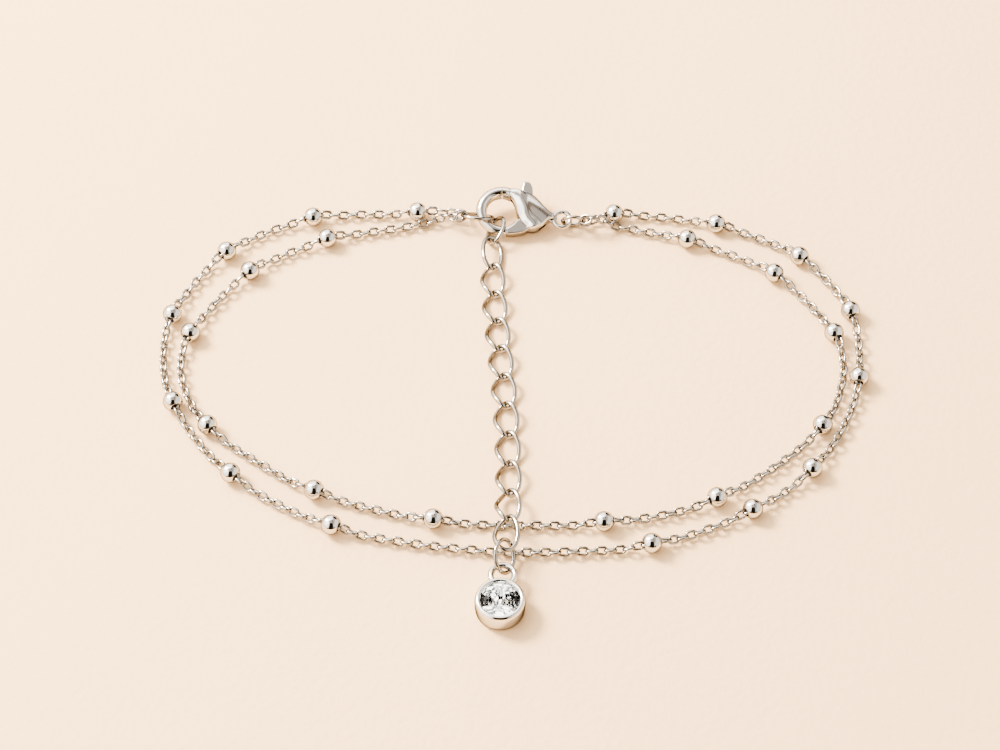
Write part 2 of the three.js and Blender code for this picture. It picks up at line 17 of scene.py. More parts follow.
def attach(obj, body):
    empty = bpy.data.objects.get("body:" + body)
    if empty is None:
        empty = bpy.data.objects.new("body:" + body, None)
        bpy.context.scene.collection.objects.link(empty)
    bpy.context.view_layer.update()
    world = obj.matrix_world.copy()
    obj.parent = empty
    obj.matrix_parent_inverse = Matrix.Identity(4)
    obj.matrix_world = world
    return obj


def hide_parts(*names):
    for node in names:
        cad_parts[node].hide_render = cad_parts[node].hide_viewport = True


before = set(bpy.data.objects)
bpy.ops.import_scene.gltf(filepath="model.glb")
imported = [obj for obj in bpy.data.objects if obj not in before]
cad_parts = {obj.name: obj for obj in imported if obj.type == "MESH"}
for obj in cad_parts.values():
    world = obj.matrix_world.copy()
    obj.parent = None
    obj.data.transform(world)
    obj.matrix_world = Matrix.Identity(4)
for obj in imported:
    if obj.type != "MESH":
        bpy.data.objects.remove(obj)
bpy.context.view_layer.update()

MM = 0.001  # the tables below are in millimetres, and every mesh is in metres


# %% [markdown]
# ## Small tools
# Colours are written as the hex values that a paint chart gives. The colour picker turns such
# a value into the linear one that shaders work in, but a script has to do that itself, so one
# function does. One more adds a node, sets it up and links it, for materials and Geometry
# Nodes alike.

# %% Colours and nodes
def linear(hex_colour):
    """An sRGB hex colour as linear red, green, blue and alpha."""
    channels = [int(hex_colour[i:i + 2], 16) / 255 for i in (1, 3, 5)]
    return [c / 12.92 if c <= 0.04045 else ((c + 0.055) / 1.055) ** 2.4 for c in channels] + [1.0]


def add_node(tree, kind, settings=None, inputs=None):
    """A new node. Each input is given a value, or the output socket that feeds it."""
    node = tree.nodes.new(kind)
    for name, value in (settings or {}).items():
        setattr(node, name, value)
    for socket, value in (inputs or {}).items():
        if isinstance(value, bpy.types.NodeSocket):
            tree.links.new(value, node.inputs[socket])
        else:
            node.inputs[socket].default_value = value
    return node


print("the hex grey #808080 is", round(linear("#808080")[0], 3), "in linear light")


# %% [markdown]
# ## Metal finishes
# All of the metal in sight is silver-coloured and polished, most likely rhodium plate. A
# polished metal shows its surroundings, so its own colour is nearly white. What gives it away
# as real is small: the polish wheel leaves the surface very slightly wavy, and handling leaves
# faint patches that are a little less bright. Pictures of worn metal could give both, but they
# need unwrapping and show seams. Noise on Object coordinates, sized in millimetres, has none.

# %% Polished metal
PAINTED_EDGE_SHADE = "#24211D"  # plating dims a little at shallow angles; this tint darkens it far more, painted shade for dark outlines
PATCH_MM = 3.0  # size of the patches that handling has dulled
GLOSS_PLAY = 0.3  # the roughness varies from patch to patch by this share
NOISE_LOW, NOISE_HIGH = 0.3, 0.7  # most values of a noise texture lie between these


def polished_metal(name, tone, dull_tone, roughness, wave_mm, wave_height_mm):
    """Silver-coloured metal: bright tone, dulled patches, and the low waves of hand polishing."""
    material = bpy.data.materials.new(name)
    material.use_nodes = True
    tree = material.node_tree
    shader = tree.nodes["Principled BSDF"]
    shader.inputs["Metallic"].default_value = 1.0
    # The edge tint paints shade into the reflection near each part's outline.
    shader.inputs["Specular Tint"].default_value = linear(PAINTED_EDGE_SHADE)
    place = add_node(tree, "ShaderNodeTexCoord").outputs["Object"]
    patches = add_node(
        tree, "ShaderNodeTexNoise", {},
        {"Vector": place, "Scale": 1 / (PATCH_MM * MM), "Detail": 3.0, "Roughness": 0.55})
    colour = add_node(
        tree, "ShaderNodeMix", {"data_type": "RGBA"},
        {"Factor": patches.outputs["Fac"], "A": linear(tone), "B": linear(dull_tone)})
    tree.links.new(colour.outputs["Result"], shader.inputs["Base Color"])
    gloss = add_node(
        tree, "ShaderNodeMapRange", {},
        {"Value": patches.outputs["Fac"], "From Min": NOISE_LOW, "From Max": NOISE_HIGH,
         "To Min": roughness * (1 - GLOSS_PLAY), "To Max": roughness * (1 + GLOSS_PLAY)})
    tree.links.new(gloss.outputs["Result"], shader.inputs["Roughness"])
    waves = add_node(
        tree, "ShaderNodeTexNoise", {},
        {"Vector": place, "Scale": 1 / (wave_mm * MM), "Detail": 1.0, "Roughness": 0.4})
    bump = add_node(
        tree, "ShaderNodeBump", {},
        {"Height": waves.outputs["Fac"], "Strength": 1.0, "Distance": wave_height_mm * MM})
    tree.links.new(bump.outputs["Normal"], shader.inputs["Normal"])
    return material


# Station beads are rolled and tumbled, so they are the most perfect mirrors here.
bead_polish = polished_metal(
    "rhodium_tumbled_bead", "#DAD7D2", "#CBC7C1", roughness=0.03, wave_mm=0.9, wave_height_mm=0.002)
# Machine-made chain is only tumbled in bulk, which leaves it darker and a little softer.
chain_polish = polished_metal(
    "rhodium_cable_chain", "#ABA59C", "#8C867C", roughness=0.08, wave_mm=0.35, wave_height_mm=0.004)
wire_polish = polished_metal(
    "rhodium_curb_wire", "#ADA79E", "#908A80", roughness=0.06, wave_mm=0.6, wave_height_mm=0.006)
# The clasp is cast, then polished by hand, so its surface has longer and higher waves.
cast_polish = polished_metal(
    "rhodium_cast_clasp", "#D6D2CC", "#C3BEB7", roughness=0.12, wave_mm=1.4, wave_height_mm=0.012)
# The bezel is turned and burnished over the stone, which leaves it the brightest.
bezel_polish = polished_metal(
    "rhodium_bezel", "#E2DFDA", "#D2CEC8", roughness=0.08, wave_mm=1.6, wave_height_mm=0.006)
# The pin is plain drawn steel, cut to length and not polished.
pin_steel = polished_metal(
    "steel_pivot_pin", "#C9C6C1", "#B2AEA8", roughness=0.25, wave_mm=0.2, wave_height_mm=0.004)
print("metals:", [m.name for m in bpy.data.materials if m.name.startswith(("rhodium", "steel"))])


# %% [markdown]
# ## Foiled crystal
# The stone is clear, colourless and cut as a round brilliant. Its sparkle is all refraction
# and mirroring through dozens of flat facets. Painted facets would be simpler, but they would
# stay as they are when the light or the view moves. So the cut is the solid's own, left
# faceted, and the material is clear. A stone in a closed cup gets no light from behind, so
# such stones are often backed with foil, and many are lead crystal, whose index is about
# 1.56. Below the girdle the material is therefore a mirror.

# %% Clear stone
CRYSTAL_INDEX = 1.56
FOIL_TOP_MM = 1.74  # the height of the girdle's middle
WEAR_MM = 0.4  # size of the faint patches of wear on the facets
WEAR_HAZE = 0.02  # roughness of the facets where they are worn most


def foiled_stone(name, index, foil_top_mm):
    """A colourless cut stone with a foil back below its girdle."""
    material = bpy.data.materials.new(name)
    material.use_nodes = True
    tree = material.node_tree
    clear = tree.nodes["Principled BSDF"]
    clear.inputs["Base Color"].default_value = linear("#FDFDFC")
    clear.inputs["Transmission Weight"].default_value = 1.0
    clear.inputs["IOR"].default_value = index
    # A dark tint weakens the windows' mirror image in the flat top, so facets stay in sight.
    clear.inputs["Specular Tint"].default_value = linear("#5E5E5E")
    place = add_node(tree, "ShaderNodeTexCoord").outputs["Object"]
    wear = add_node(
        tree, "ShaderNodeTexNoise", {},
        {"Vector": place, "Scale": 1 / (WEAR_MM * MM), "Detail": 2.0})
    haze = add_node(
        tree, "ShaderNodeMapRange", {},
        {"Value": wear.outputs["Fac"], "From Min": 0.4, "From Max": 0.8,
         "To Min": 0.0, "To Max": WEAR_HAZE})
    tree.links.new(haze.outputs["Result"], clear.inputs["Roughness"])
    foil = add_node(
        tree, "ShaderNodeBsdfPrincipled", {},
        {"Base Color": linear("#F6F5F2"), "Metallic": 1.0, "Roughness": 0.04})
    height = add_node(tree, "ShaderNodeSeparateXYZ", {}, {"Vector": place}).outputs["Z"]
    below = add_node(
        tree, "ShaderNodeMath", {"operation": "LESS_THAN"}, {0: height, 1: foil_top_mm * MM})
    whole = add_node(tree, "ShaderNodeMixShader", {}, {
        0: below.outputs["Value"], 1: clear.outputs["BSDF"], 2: foil.outputs["BSDF"]})
    tree.links.new(whole.outputs["Shader"], tree.nodes["Material Output"].inputs["Surface"])
    return material


crystal = foiled_stone("foiled_crystal", CRYSTAL_INDEX, FOIL_TOP_MM)
print("stone:", crystal.name)


# %% [markdown]
# ## Meshes by hand, and meshes from nodes
# Three helpers make meshes. `mesh_object` takes points and faces. `lathe` turns a profile
# round the Z axis, as a bezel is turned. `grown` runs a Geometry Nodes tree over a carrier
# object and keeps only the finished mesh: what repeats or follows a path is made that way.

# %% Mesh helpers
MERGE_MM = 1e-4  # points nearer to each other than this are made one


def mesh_object(name, points, faces, material=None, sharp_degrees=40):
    """A closed mesh object at the origin. Points are in millimetres, faces point outwards."""
    mesh = bpy.data.meshes.new(name)
    mesh.from_pydata([tuple(c * MM for c in p) for p in points], [], faces)
    shell = bmesh.new()
    shell.from_mesh(mesh)
    bmesh.ops.remove_doubles(shell, verts=shell.verts, dist=MERGE_MM * MM)
    bmesh.ops.recalc_face_normals(shell, faces=shell.faces)
    shell.to_mesh(mesh)
    shell.free()
    mesh.polygons.foreach_set("use_smooth", [True] * len(mesh.polygons))
    mesh.set_sharp_from_angle(angle=math.radians(sharp_degrees))
    if material:
        mesh.materials.append(material)
    piece = bpy.data.objects.new(name, mesh)
    bpy.context.scene.collection.objects.link(piece)
    return piece


def rings_to_faces(ring_count, ring_size, closed_along, capped):
    """Faces between rings of points that follow each other in one list."""
    faces = []
    for i in range(ring_count if closed_along else ring_count - 1):
        near, far = i * ring_size, ((i + 1) % ring_count) * ring_size
        for k in range(ring_size):
            after = (k + 1) % ring_size
            faces.append((near + k, near + after, far + after, far + k))
    if capped:
        faces.append(tuple(range(ring_size)))
        faces.append(tuple((ring_count - 1) * ring_size + k for k in range(ring_size)))
    return faces


def lathe(name, profile, segments, material=None, sharp_degrees=40):
    """A profile of (radius, height) rows, in millimetres, turned round Z. It closes on itself."""
    points = []
    for i in range(segments):
        turn = 2 * math.pi * i / segments
        points += [(r * math.cos(turn), r * math.sin(turn), z) for r, z in profile]
    faces = rings_to_faces(segments, len(profile), closed_along=True, capped=False)
    return mesh_object(name, points, faces, material, sharp_degrees)


def new_tree(name, sizes):
    """A Geometry Nodes tree with its input and output, and a named input for each size."""
    tree = bpy.data.node_groups.new(name, "GeometryNodeTree")
    tree.interface.new_socket("Geometry", in_out="INPUT", socket_type="NodeSocketGeometry")
    tree.interface.new_socket("Geometry", in_out="OUTPUT", socket_type="NodeSocketGeometry")
    for label, kind in sizes.items():
        tree.interface.new_socket(label, in_out="INPUT", socket_type="NodeSocket" + kind)
    return tree, add_node(tree, "NodeGroupInput").outputs


def end_tree(tree, geometry, material):
    """Makes instances real, gives the material, and ends the tree."""
    real = add_node(tree, "GeometryNodeRealizeInstances", {}, {"Geometry": geometry})
    dressed = add_node(
        tree, "GeometryNodeSetMaterial", {},
        {"Geometry": real.outputs["Geometry"], "Material": material})
    add_node(tree, "NodeGroupOutput", {}, {"Geometry": dressed.outputs["Geometry"]})


def grown(name, carrier, tree, values):
    """The mesh that a tree grows on a carrier object, as a plain object. The carrier goes."""
    modifier = carrier.modifiers.new(tree.name, "NODES")
    modifier.node_group = tree
    for socket in tree.interface.items_tree:
        if socket.in_out == "INPUT" and socket.name in values:
            modifier[socket.identifier] = values[socket.name]
    evaluated = carrier.evaluated_get(bpy.context.evaluated_depsgraph_get())
    mesh = bpy.data.meshes.new_from_object(evaluated)
    mesh.name = name
    piece = bpy.data.objects.new(name, mesh)
    bpy.context.scene.collection.objects.link(piece)
    bpy.data.objects.remove(carrier)
    print(name, "faces:", len(mesh.polygons))
    return piece


def line_object(name, lines, closed):
    """A curve object of straight-sided lines through points in millimetres."""
    curve = bpy.data.curves.new(name, "CURVE")
    curve.dimensions = "3D"
    for points in lines:
        spline = curve.splines.new("POLY")
        spline.points.add(len(points) - 1)
        for k, point in enumerate(points):
            spline.points[k].co = (*(c * MM for c in point), 1.0)
        spline.use_cyclic_u = closed
    carrier = bpy.data.objects.new(name, curve)
    bpy.context.scene.collection.objects.link(carrier)
    return carrier


# %% [markdown]
# ## Floor, light and camera
# The bracelet is shown on a warm, matt table top in a bright room. One soft box would light
# it well enough, but a bead mirrors every lamp, and a single one would look like a studio. So
# three windows, which are large lamps, stand at the back, the left and the front left. A
# small strong lamp between the first two is the sun on a curtain, and it gives the soft
# shadows. A glow from the ceiling and a weak reflector at the right fill them in. The camera
# looks down at 53 degrees with a portrait lens, from the front.

# %% Camera
LOOK_AT_MM = (-1.3, 3.3, 0.0)
ELEVATION = math.radians(53)
DISTANCE_MM = 248.5
LENS_MM = 85
SENSOR_MM = 36
NEAREST_MM = 10  # nothing nearer to the camera than this is drawn

camera_data = bpy.data.cameras.new("portrait_camera")
camera_data.lens = LENS_MM
camera_data.sensor_width = SENSOR_MM
camera_data.clip_start = NEAREST_MM * MM
camera = bpy.data.objects.new("portrait_camera", camera_data)
bpy.context.scene.collection.objects.link(camera)
toward_camera = Vector((0, -math.cos(ELEVATION), math.sin(ELEVATION)))
look_at = Vector(LOOK_AT_MM) * MM
camera.location = look_at + toward_camera * DISTANCE_MM * MM
camera.rotation_euler = toward_camera.to_track_quat("Z", "Y").to_euler()
bpy.context.scene.camera = camera
print("camera at", [round(v, 4) for v in camera.location])


# %% Table top
TABLE_HALF_M = 2.0
TABLE_GAP_MM = 0.02  # the table top lies this much below the solids' lowest point
CLOUD_MM = 30  # size of the faint clouds in the limewash
GRAIN_MM = 0.8
GRAIN_HEIGHT_MM = 0.15


def limewash():
    """Matt limewashed plaster: faint clouds of tone, and a fine sandy grain."""
    material = bpy.data.materials.new("matt_limewash")
    material.use_nodes = True
    tree = material.node_tree
    shader = tree.nodes["Principled BSDF"]
    shader.inputs["Roughness"].default_value = 0.9
    shader.inputs["Specular IOR Level"].default_value = 0.15
    place = add_node(tree, "ShaderNodeTexCoord").outputs["Object"]
    clouds = add_node(
        tree, "ShaderNodeTexNoise", {},
        {"Vector": place, "Scale": 1 / (CLOUD_MM * MM), "Detail": 4.0})
    colour = add_node(
        tree, "ShaderNodeMix", {"data_type": "RGBA"},
        {"Factor": clouds.outputs["Fac"], "A": linear("#E1BA8A"), "B": linear("#DCB685")})
    tree.links.new(colour.outputs["Result"], shader.inputs["Base Color"])
    grain = add_node(
        tree, "ShaderNodeTexNoise", {},
        {"Vector": place, "Scale": 1 / (GRAIN_MM * MM), "Detail": 4.0})
    bump = add_node(
        tree, "ShaderNodeBump", {},
        {"Height": grain.outputs["Fac"], "Strength": 0.5, "Distance": GRAIN_HEIGHT_MM * MM})
    tree.links.new(bump.outputs["Normal"], shader.inputs["Normal"])
    return material


def flat_panel(name, half_x, half_y, material):
    """A flat rectangle about the origin. Its half sizes are in metres."""
    mesh = bpy.data.meshes.new(name)
    corners = [(-half_x, -half_y, 0), (half_x, -half_y, 0), (half_x, half_y, 0), (-half_x, half_y, 0)]
    mesh.from_pydata(corners, [], [(0, 1, 2, 3)])
    mesh.materials.append(material)
    panel = bpy.data.objects.new(name, mesh)
    bpy.context.scene.collection.objects.link(panel)
    return panel


floor = flat_panel("table_top", TABLE_HALF_M, TABLE_HALF_M, limewash())
floor.location.z = -TABLE_GAP_MM * MM
print("table top:", floor.data.materials[0].name)


# %% Lamps
WINDOW_TONE = "#FFF6EC"
SUN_TONE = "#FFF3E4"
LAMPS = {
    # name: direction from the bracelet, distance, size, radiance, tone
    "window_back": ((-0.34, 0.94, 0.84), 640, (700, 780), 5.2, WINDOW_TONE),
    "window_left": ((-1.0, 0.26, 0.82), 640, (700, 780), 5.2, WINDOW_TONE),
    "window_front": ((-0.86, -0.58, 0.82), 640, (560, 780), 4.2, WINDOW_TONE),
    "sun_on_curtain": ((-0.72, 0.42, 0.72), 600, (180, 180), 278.0, SUN_TONE),
    "ceiling_glow": ((-0.2, 0.42, 0.88), 660, (400, 340), 3.0, WINDOW_TONE),
    "reflector_right": ((1.0, -0.1, 0.48), 600, (980, 480), 1.5, WINDOW_TONE),
}
ROOM_TONE = "#FFF4E8"
ROOM_STRENGTH = 1.05


def soft_lamp(name, direction, distance_mm, size_mm, radiance, tone):
    """A lamp in a direction from the bracelet, facing it. Radiance is in W/m2/sr."""
    light = bpy.data.lights.new(name, "AREA")
    light.shape = "RECTANGLE"
    light.size = size_mm[0] * MM
    light.size_y = size_mm[1] * MM
    light.energy = radiance * math.pi * light.size * light.size_y
    light.color = linear(tone)[:3]
    lamp = bpy.data.objects.new(name, light)
    bpy.context.scene.collection.objects.link(lamp)
    away = Vector(direction).normalized()
    lamp.location = look_at + away * distance_mm * MM
    lamp.rotation_euler = away.to_track_quat("Z", "Y").to_euler()


for name, row in LAMPS.items():
    soft_lamp(name, *row)
world = bpy.data.worlds.new("room")
world.use_nodes = True
bpy.context.scene.world = world
backdrop = world.node_tree.nodes["Background"]
backdrop.inputs["Color"].default_value = linear(ROOM_TONE)
backdrop.inputs["Strength"].default_value = ROOM_STRENGTH


# %% [markdown]
# ## What the metal and the stone mirror
# A polished metal shows only what is round it. In a white room it would be plain white, so
# dark cards stand where a person, the table's edge, a corner of the room and a beam would be.
# Only mirrors see them. A cut stone shows small pieces of the whole room, so it looks into a
# bright tent with dark gaps, which nothing else sees. A picture of a real room could do both
# jobs, but each card can be moved on its own, and none needs a file.

# %% Dark cards
def dark_card(name, direction, distance_mm, size_mm, material):
    """A dark panel that only mirrors see. It gives polished metal its dark lines."""
    half_x, half_y = (side / 2 * MM for side in size_mm)
    card = flat_panel(name, half_x, half_y, material)
    away = Vector(direction).normalized()
    card.location = look_at + away * distance_mm * MM
    card.rotation_euler = away.to_track_quat("Z", "Y").to_euler()
    for ray in ("camera", "diffuse", "shadow"):
        setattr(card, "visible_" + ray, False)


def matt_cloth(name, tone):
    """Plain cloth of one colour, with no sheen at all."""
    cloth = bpy.data.materials.new(name)
    cloth.use_nodes = True
    shader = cloth.node_tree.nodes["Principled BSDF"]
    shader.inputs["Base Color"].default_value = linear(tone)
    shader.inputs["Roughness"].default_value = 1.0
    shader.inputs["Specular IOR Level"].default_value = 0.0
    return cloth


black_cloth = matt_cloth("black_cloth", "#080706")
grey_cloth = matt_cloth("grey_cloth", "#3A3835")
DARK_CARDS = {
    # name: direction from the bracelet, distance, size, cloth
    "dark_figure": ((0.03, -0.8, 0.6), 300, (240, 400), black_cloth),
    "dark_table_edge": ((0.03, -1.0, 0.07), 300, (560, 110), black_cloth),
    "dark_corner": ((0.5, 0.87, 0.24), 500, (250, 300), black_cloth),
    "grey_beam": ((0.3, 0.1, 0.95), 500, (420, 70), grey_cloth),
}
for name, row in DARK_CARDS.items():
    dark_card(name, *row)
print("cards:", list(DARK_CARDS))


# %% Tent
TENT_RADIUS_MM = 220
TENT_PATCH_MM = 52
TENT_GLOW = 11.0
TENT_STEPS = [
    # share of the patches at which a tone starts, and the tone
    (0.0, (0.003, 0.003, 0.003, 1)), (0.14, (0.1, 0.1, 0.1, 1)), (0.4, (1, 0.98, 0.95, 1)),
]


def room_pattern():
    """Bright cloth with dark gaps, as a room looks when it is seen through a cut stone."""
    cloth = bpy.data.materials.new("bright_room")
    cloth.use_nodes = True
    tree = cloth.node_tree
    tree.nodes.remove(tree.nodes["Principled BSDF"])
    place = add_node(tree, "ShaderNodeTexCoord").outputs["Object"]
    cells = add_node(
        tree, "ShaderNodeTexVoronoi", {}, {"Vector": place, "Scale": 1 / (TENT_PATCH_MM * MM)})
    pick = add_node(tree, "ShaderNodeSeparateColor", {}, {"Color": cells.outputs["Color"]})
    steps = add_node(tree, "ShaderNodeValToRGB", {}, {"Fac": pick.outputs["Red"]})
    steps.color_ramp.interpolation = "CONSTANT"
    marks = steps.color_ramp.elements
    for k, (position, tone) in enumerate(TENT_STEPS):
        mark = marks[k] if k < len(marks) else marks.new(position)
        mark.position = position
        mark.color = tone
    glow = add_node(
        tree, "ShaderNodeEmission", {}, {"Color": steps.outputs["Color"], "Strength": TENT_GLOW})
    tree.links.new(glow.outputs["Emission"], tree.nodes["Material Output"].inputs["Surface"])
    return cloth


tent_mesh = bpy.data.meshes.new("bright_tent")
dome_shell = bmesh.new()
bmesh.ops.create_uvsphere(dome_shell, u_segments=32, v_segments=16, radius=TENT_RADIUS_MM * MM)
dome_shell.to_mesh(tent_mesh)
dome_shell.free()
tent_mesh.materials.append(room_pattern())
tent = bpy.data.objects.new("bright_tent", tent_mesh)
bpy.context.scene.collection.objects.link(tent)
for ray in ("camera", "diffuse", "glossy", "shadow", "volume_scatter"):
    setattr(tent, "visible_" + ray, False)
print("tent:", tent.data.materials[0].name)


# %% [markdown]
# ## Jump rings and where the strands hang
# Three round wire rings join the parts. A ring is a circle of wire, given by its centre, the
# direction it faces and its radius. The strands' last links hang on two of them, so the same
# rows also say where each strand starts and ends. A torus would make a ring as well. Here it
# is wire on a line, because the same tree then makes the end links and the extender too.

# %% Ring sizes
JUMP_WIRE_MM = 0.42
RING_STEPS = 72
RING_SIDES = 20
RINGS = {
    "end_jump_ring": {"centre": (-3.76, 24.12, 1.36), "normal": (0.1, 0.66, 0.745), "radius": 1.68},
    "clasp_jump_ring": {"centre": (6.76, 23.52, 1.31), "normal": (0, 0.94, 0.34), "radius": 1.16},
    "drop_jump_ring": {"centre": (-0.86, -20.55, 2.0), "normal": (0.835, -0.27, 0.477), "radius": 1.65},
}


def on_ring(ring, angle):
    """A point of a ring's wire and the way it runs there. Angle 0 is nearest to +X."""
    normal = Vector(ring["normal"]).normalized()
    along = (Vector((1, 0, 0)) - normal * normal.x).normalized()
    across = normal.cross(along)
    point = Vector(ring["centre"]) + ring["radius"] * (
        along * math.cos(angle) + across * math.sin(angle))
    return point, across * math.cos(angle) - along * math.sin(angle)


def round_wire_tree():
    """Round wire bent along the carrier's lines."""
    tree, sizes = new_tree(
        "round_wire", {"Wire Radius": "Float", "Sides": "Int", "Material": "Material"})
    section = add_node(
        tree, "GeometryNodeCurvePrimitiveCircle", {},
        {"Resolution": sizes["Sides"], "Radius": sizes["Wire Radius"]})
    wire = add_node(
        tree, "GeometryNodeCurveToMesh", {},
        {"Curve": sizes["Geometry"], "Profile Curve": section.outputs["Curve"], "Fill Caps": True})
    smooth = add_node(tree, "GeometryNodeSetShadeSmooth", {}, {"Geometry": wire.outputs["Mesh"]})
    end_tree(tree, smooth.outputs["Geometry"], sizes["Material"])
    return tree


round_wire = round_wire_tree()
for ring_name, ring in RINGS.items():
    circle = [on_ring(ring, 2 * math.pi * k / RING_STEPS)[0] for k in range(RING_STEPS)]
    ring_piece = grown(
        ring_name + "_wire", line_object(ring_name + "_line", [circle], closed=True), round_wire,
        {"Wire Radius": JUMP_WIRE_MM / 2 * MM, "Sides": RING_SIDES, "Material": wire_polish})
    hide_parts(ring_name)
    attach(ring_piece, "bracelet")


# %% [markdown]
# ## The strands' routes
# Each strand runs through its beads in turn, so its route is a smooth curve through the
# beads' places and a few points between. A bead holds the chain at the height of its middle,
# one bead radius up. Between beads it hangs a little lower, and under the extender it lies on
# the table. A Bezier curve would look the same, but beads, links and heights all go by the
# length along the route, so a small class keeps the route and measures it.

# %% Routes and heights
BEAD = {"radius": 1.025, "half_length": 0.86, "hole": 0.5,
        "hold": 0.96}  # a bead keeps the chain at its own height this far from its middle
LOW_MM = 0.42  # height of a strand where it lies on the table, under the extender
LOW_HOLD_MM = 1.2  # how far it lies there, to each side
HANG_MM = 0.6  # height between the beads
RISE_MM = 2.0  # length over which a strand climbs to a bead
END_RISE_MM = 3.4  # and to a jump ring
ROUTE_STEPS = 60  # points of a route from each row to the next

OUTER_ROUTE = [
    {"x": -7.4, "y": 25.25}, {"x": -10.4, "y": 25.1, "bead": 1}, {"x": -21.9, "y": 24.4, "bead": 1},
    {"x": -31.1, "y": 19.5, "bead": 1}, {"x": -36.3, "y": 10.7, "bead": 1}, {"x": -36.8, "y": 4.9},
    {"x": -35.3, "y": -0.9, "bead": 1}, {"x": -28.7, "y": -9.9, "bead": 1},
    {"x": -18.2, "y": -16.2, "bead": 1}, {"x": -9.8, "y": -18.2}, {"x": -1.3, "y": -19.1, "low": 1},
    {"x": 6.7, "y": -19.1}, {"x": 13.8, "y": -18.4, "bead": 1}, {"x": 24.1, "y": -14.3, "bead": 1},
    {"x": 30.5, "y": -9.3, "bead": 1}, {"x": 34.3, "y": -3.6}, {"x": 36.3, "y": 2.3, "bead": 1},
    {"x": 36.2, "y": 11.2, "bead": 1}, {"x": 31.3, "y": 18.8, "bead": 1},
    {"x": 22.5, "y": 23.4, "bead": 1}, {"x": 11.3, "y": 24.9, "bead": 1},
]
INNER_ROUTE = [
    {"x": -7.1, "y": 24.3}, {"x": -9.6, "y": 23.75}, {"x": -12.3, "y": 23.1},
    {"x": -20.2, "y": 21.3, "bead": 1}, {"x": -28.4, "y": 16.7, "bead": 1},
    {"x": -34.2, "y": 8.2, "bead": 1}, {"x": -34.9, "y": 4.6}, {"x": -34.4, "y": 1.4},
    {"x": -31.5, "y": -3.9, "bead": 1}, {"x": -26.2, "y": -8.2}, {"x": -20.1, "y": -12.0, "bead": 1},
    {"x": -8.0, "y": -15.5, "bead": 1}, {"x": -1.3, "y": -15.9, "low": 1},
    {"x": 9.1, "y": -15.8, "bead": 1},
    {"x": 20.6, "y": -12.9, "bead": 1}, {"x": 32.0, "y": -3.9, "bead": 1}, {"x": 34.4, "y": 1.4},
    {"x": 34.85, "y": 4.6}, {"x": 34.2, "y": 8.2, "bead": 1}, {"x": 28.4, "y": 16.4, "bead": 1},
    {"x": 19.2, "y": 21.2, "bead": 1}, {"x": 13.6, "y": 22.8}, {"x": 9.7, "y": 23.5},
]


def smooth_line(points, steps=ROUTE_STEPS):
    """A centripetal curve through the points, with so many short steps between each two."""
    p = np.array(points, float)
    p = np.vstack([2 * p[0] - p[1], p, 2 * p[-1] - p[-2]])
    line = []
    for i in range(1, len(p) - 2):
        before, here, there = (np.sqrt(np.linalg.norm(p[j + 1] - p[j])) for j in (i - 1, i, i + 1))
        leave = here * ((p[i] - p[i - 1]) / before - (p[i + 1] - p[i - 1]) / (before + here)
                        + (p[i + 1] - p[i]) / here)
        arrive = here * ((p[i + 1] - p[i]) / here - (p[i + 2] - p[i]) / (here + there)
                         + (p[i + 2] - p[i + 1]) / there)
        t = np.linspace(0, 1, steps, endpoint=False)[:, None]
        line.append(
            p[i] + leave * t + (3 * (p[i + 1] - p[i]) - 2 * leave - arrive) * t ** 2
            + (2 * (p[i] - p[i + 1]) + leave + arrive) * t ** 3)
    return np.vstack(line + [p[-2][None, :]])


class Strand:
    """One strand's middle line, in millimetres."""

    def __init__(self, route, start, end):
        flat = [start[:2]] + [(r["x"], r["y"]) for r in route] + [end[:2]]
        self.plan = smooth_line(flat)
        steps = np.linalg.norm(np.diff(self.plan, axis=0), axis=1)
        self.along = np.concatenate([[0], np.cumsum(steps)])
        self.length = self.along[-1]
        self.beads, self.lows = (
            [self.along[ROUTE_STEPS * (i + 1)] for i, row in enumerate(route) if row.get(mark)]
            for mark in ("bead", "low"))
        self.key_at, self.key_height = self.height_keys(start[2], end[2])

    def height_keys(self, start_height, end_height):
        """Places where the strand's height is known, from end to end."""
        held = [(0, start_height, 0, END_RISE_MM)]
        held += [(s, BEAD["radius"], BEAD["hold"], RISE_MM) for s in self.beads]
        held += [(s, LOW_MM, LOW_HOLD_MM, RISE_MM) for s in self.lows]
        held += [(self.length, end_height, 0, END_RISE_MM)]
        held.sort()
        keys = [(0, start_height)]
        for (s0, z0, hold0, rise0), (s1, z1, hold1, rise1) in zip(held, held[1:]):
            leave, arrive = s0 + hold0, s1 - hold1
            if hold0:
                keys.append((leave, z0))
            if arrive - leave > rise0 + rise1:
                keys += [(leave + rise0, HANG_MM), (arrive - rise1, HANG_MM)]
            keys.append((arrive, z1))
        return [k[0] for k in keys], [k[1] for k in keys]

    def point(self, s):
        """The point at a length along the strand."""
        x, y = (np.interp(s, self.along, self.plan[:, axis]) for axis in (0, 1))
        i = min(max(np.searchsorted(self.key_at, s), 1), len(self.key_at) - 1)
        s0, s1 = self.key_at[i - 1], self.key_at[i]
        share = (1 - math.cos(math.pi * min(max((s - s0) / (s1 - s0), 0), 1))) / 2
        z = self.key_height[i - 1] + (self.key_height[i] - self.key_height[i - 1]) * share
        return Vector((x, y, z))


# %% [markdown]
# ## Links at the ends of the strands
# An oval link of its own size closes on the jump ring at each end of a strand. It hangs
# outwards from the ring's wire, in the plane that the pull of the strand gives it. It could be
# set by eye, but worked out from the ring's wire it hangs right wherever the ring lies.

# %% End links
END_LINK = {"half_length": 0.71, "half_width": 0.48, "wire": 0.28, "steps": 28, "sides": 12,
            "play": 0.07,  # the gap between its wire and the ring's
            "overlap": 0.08}  # the strand starts this far inside its far end
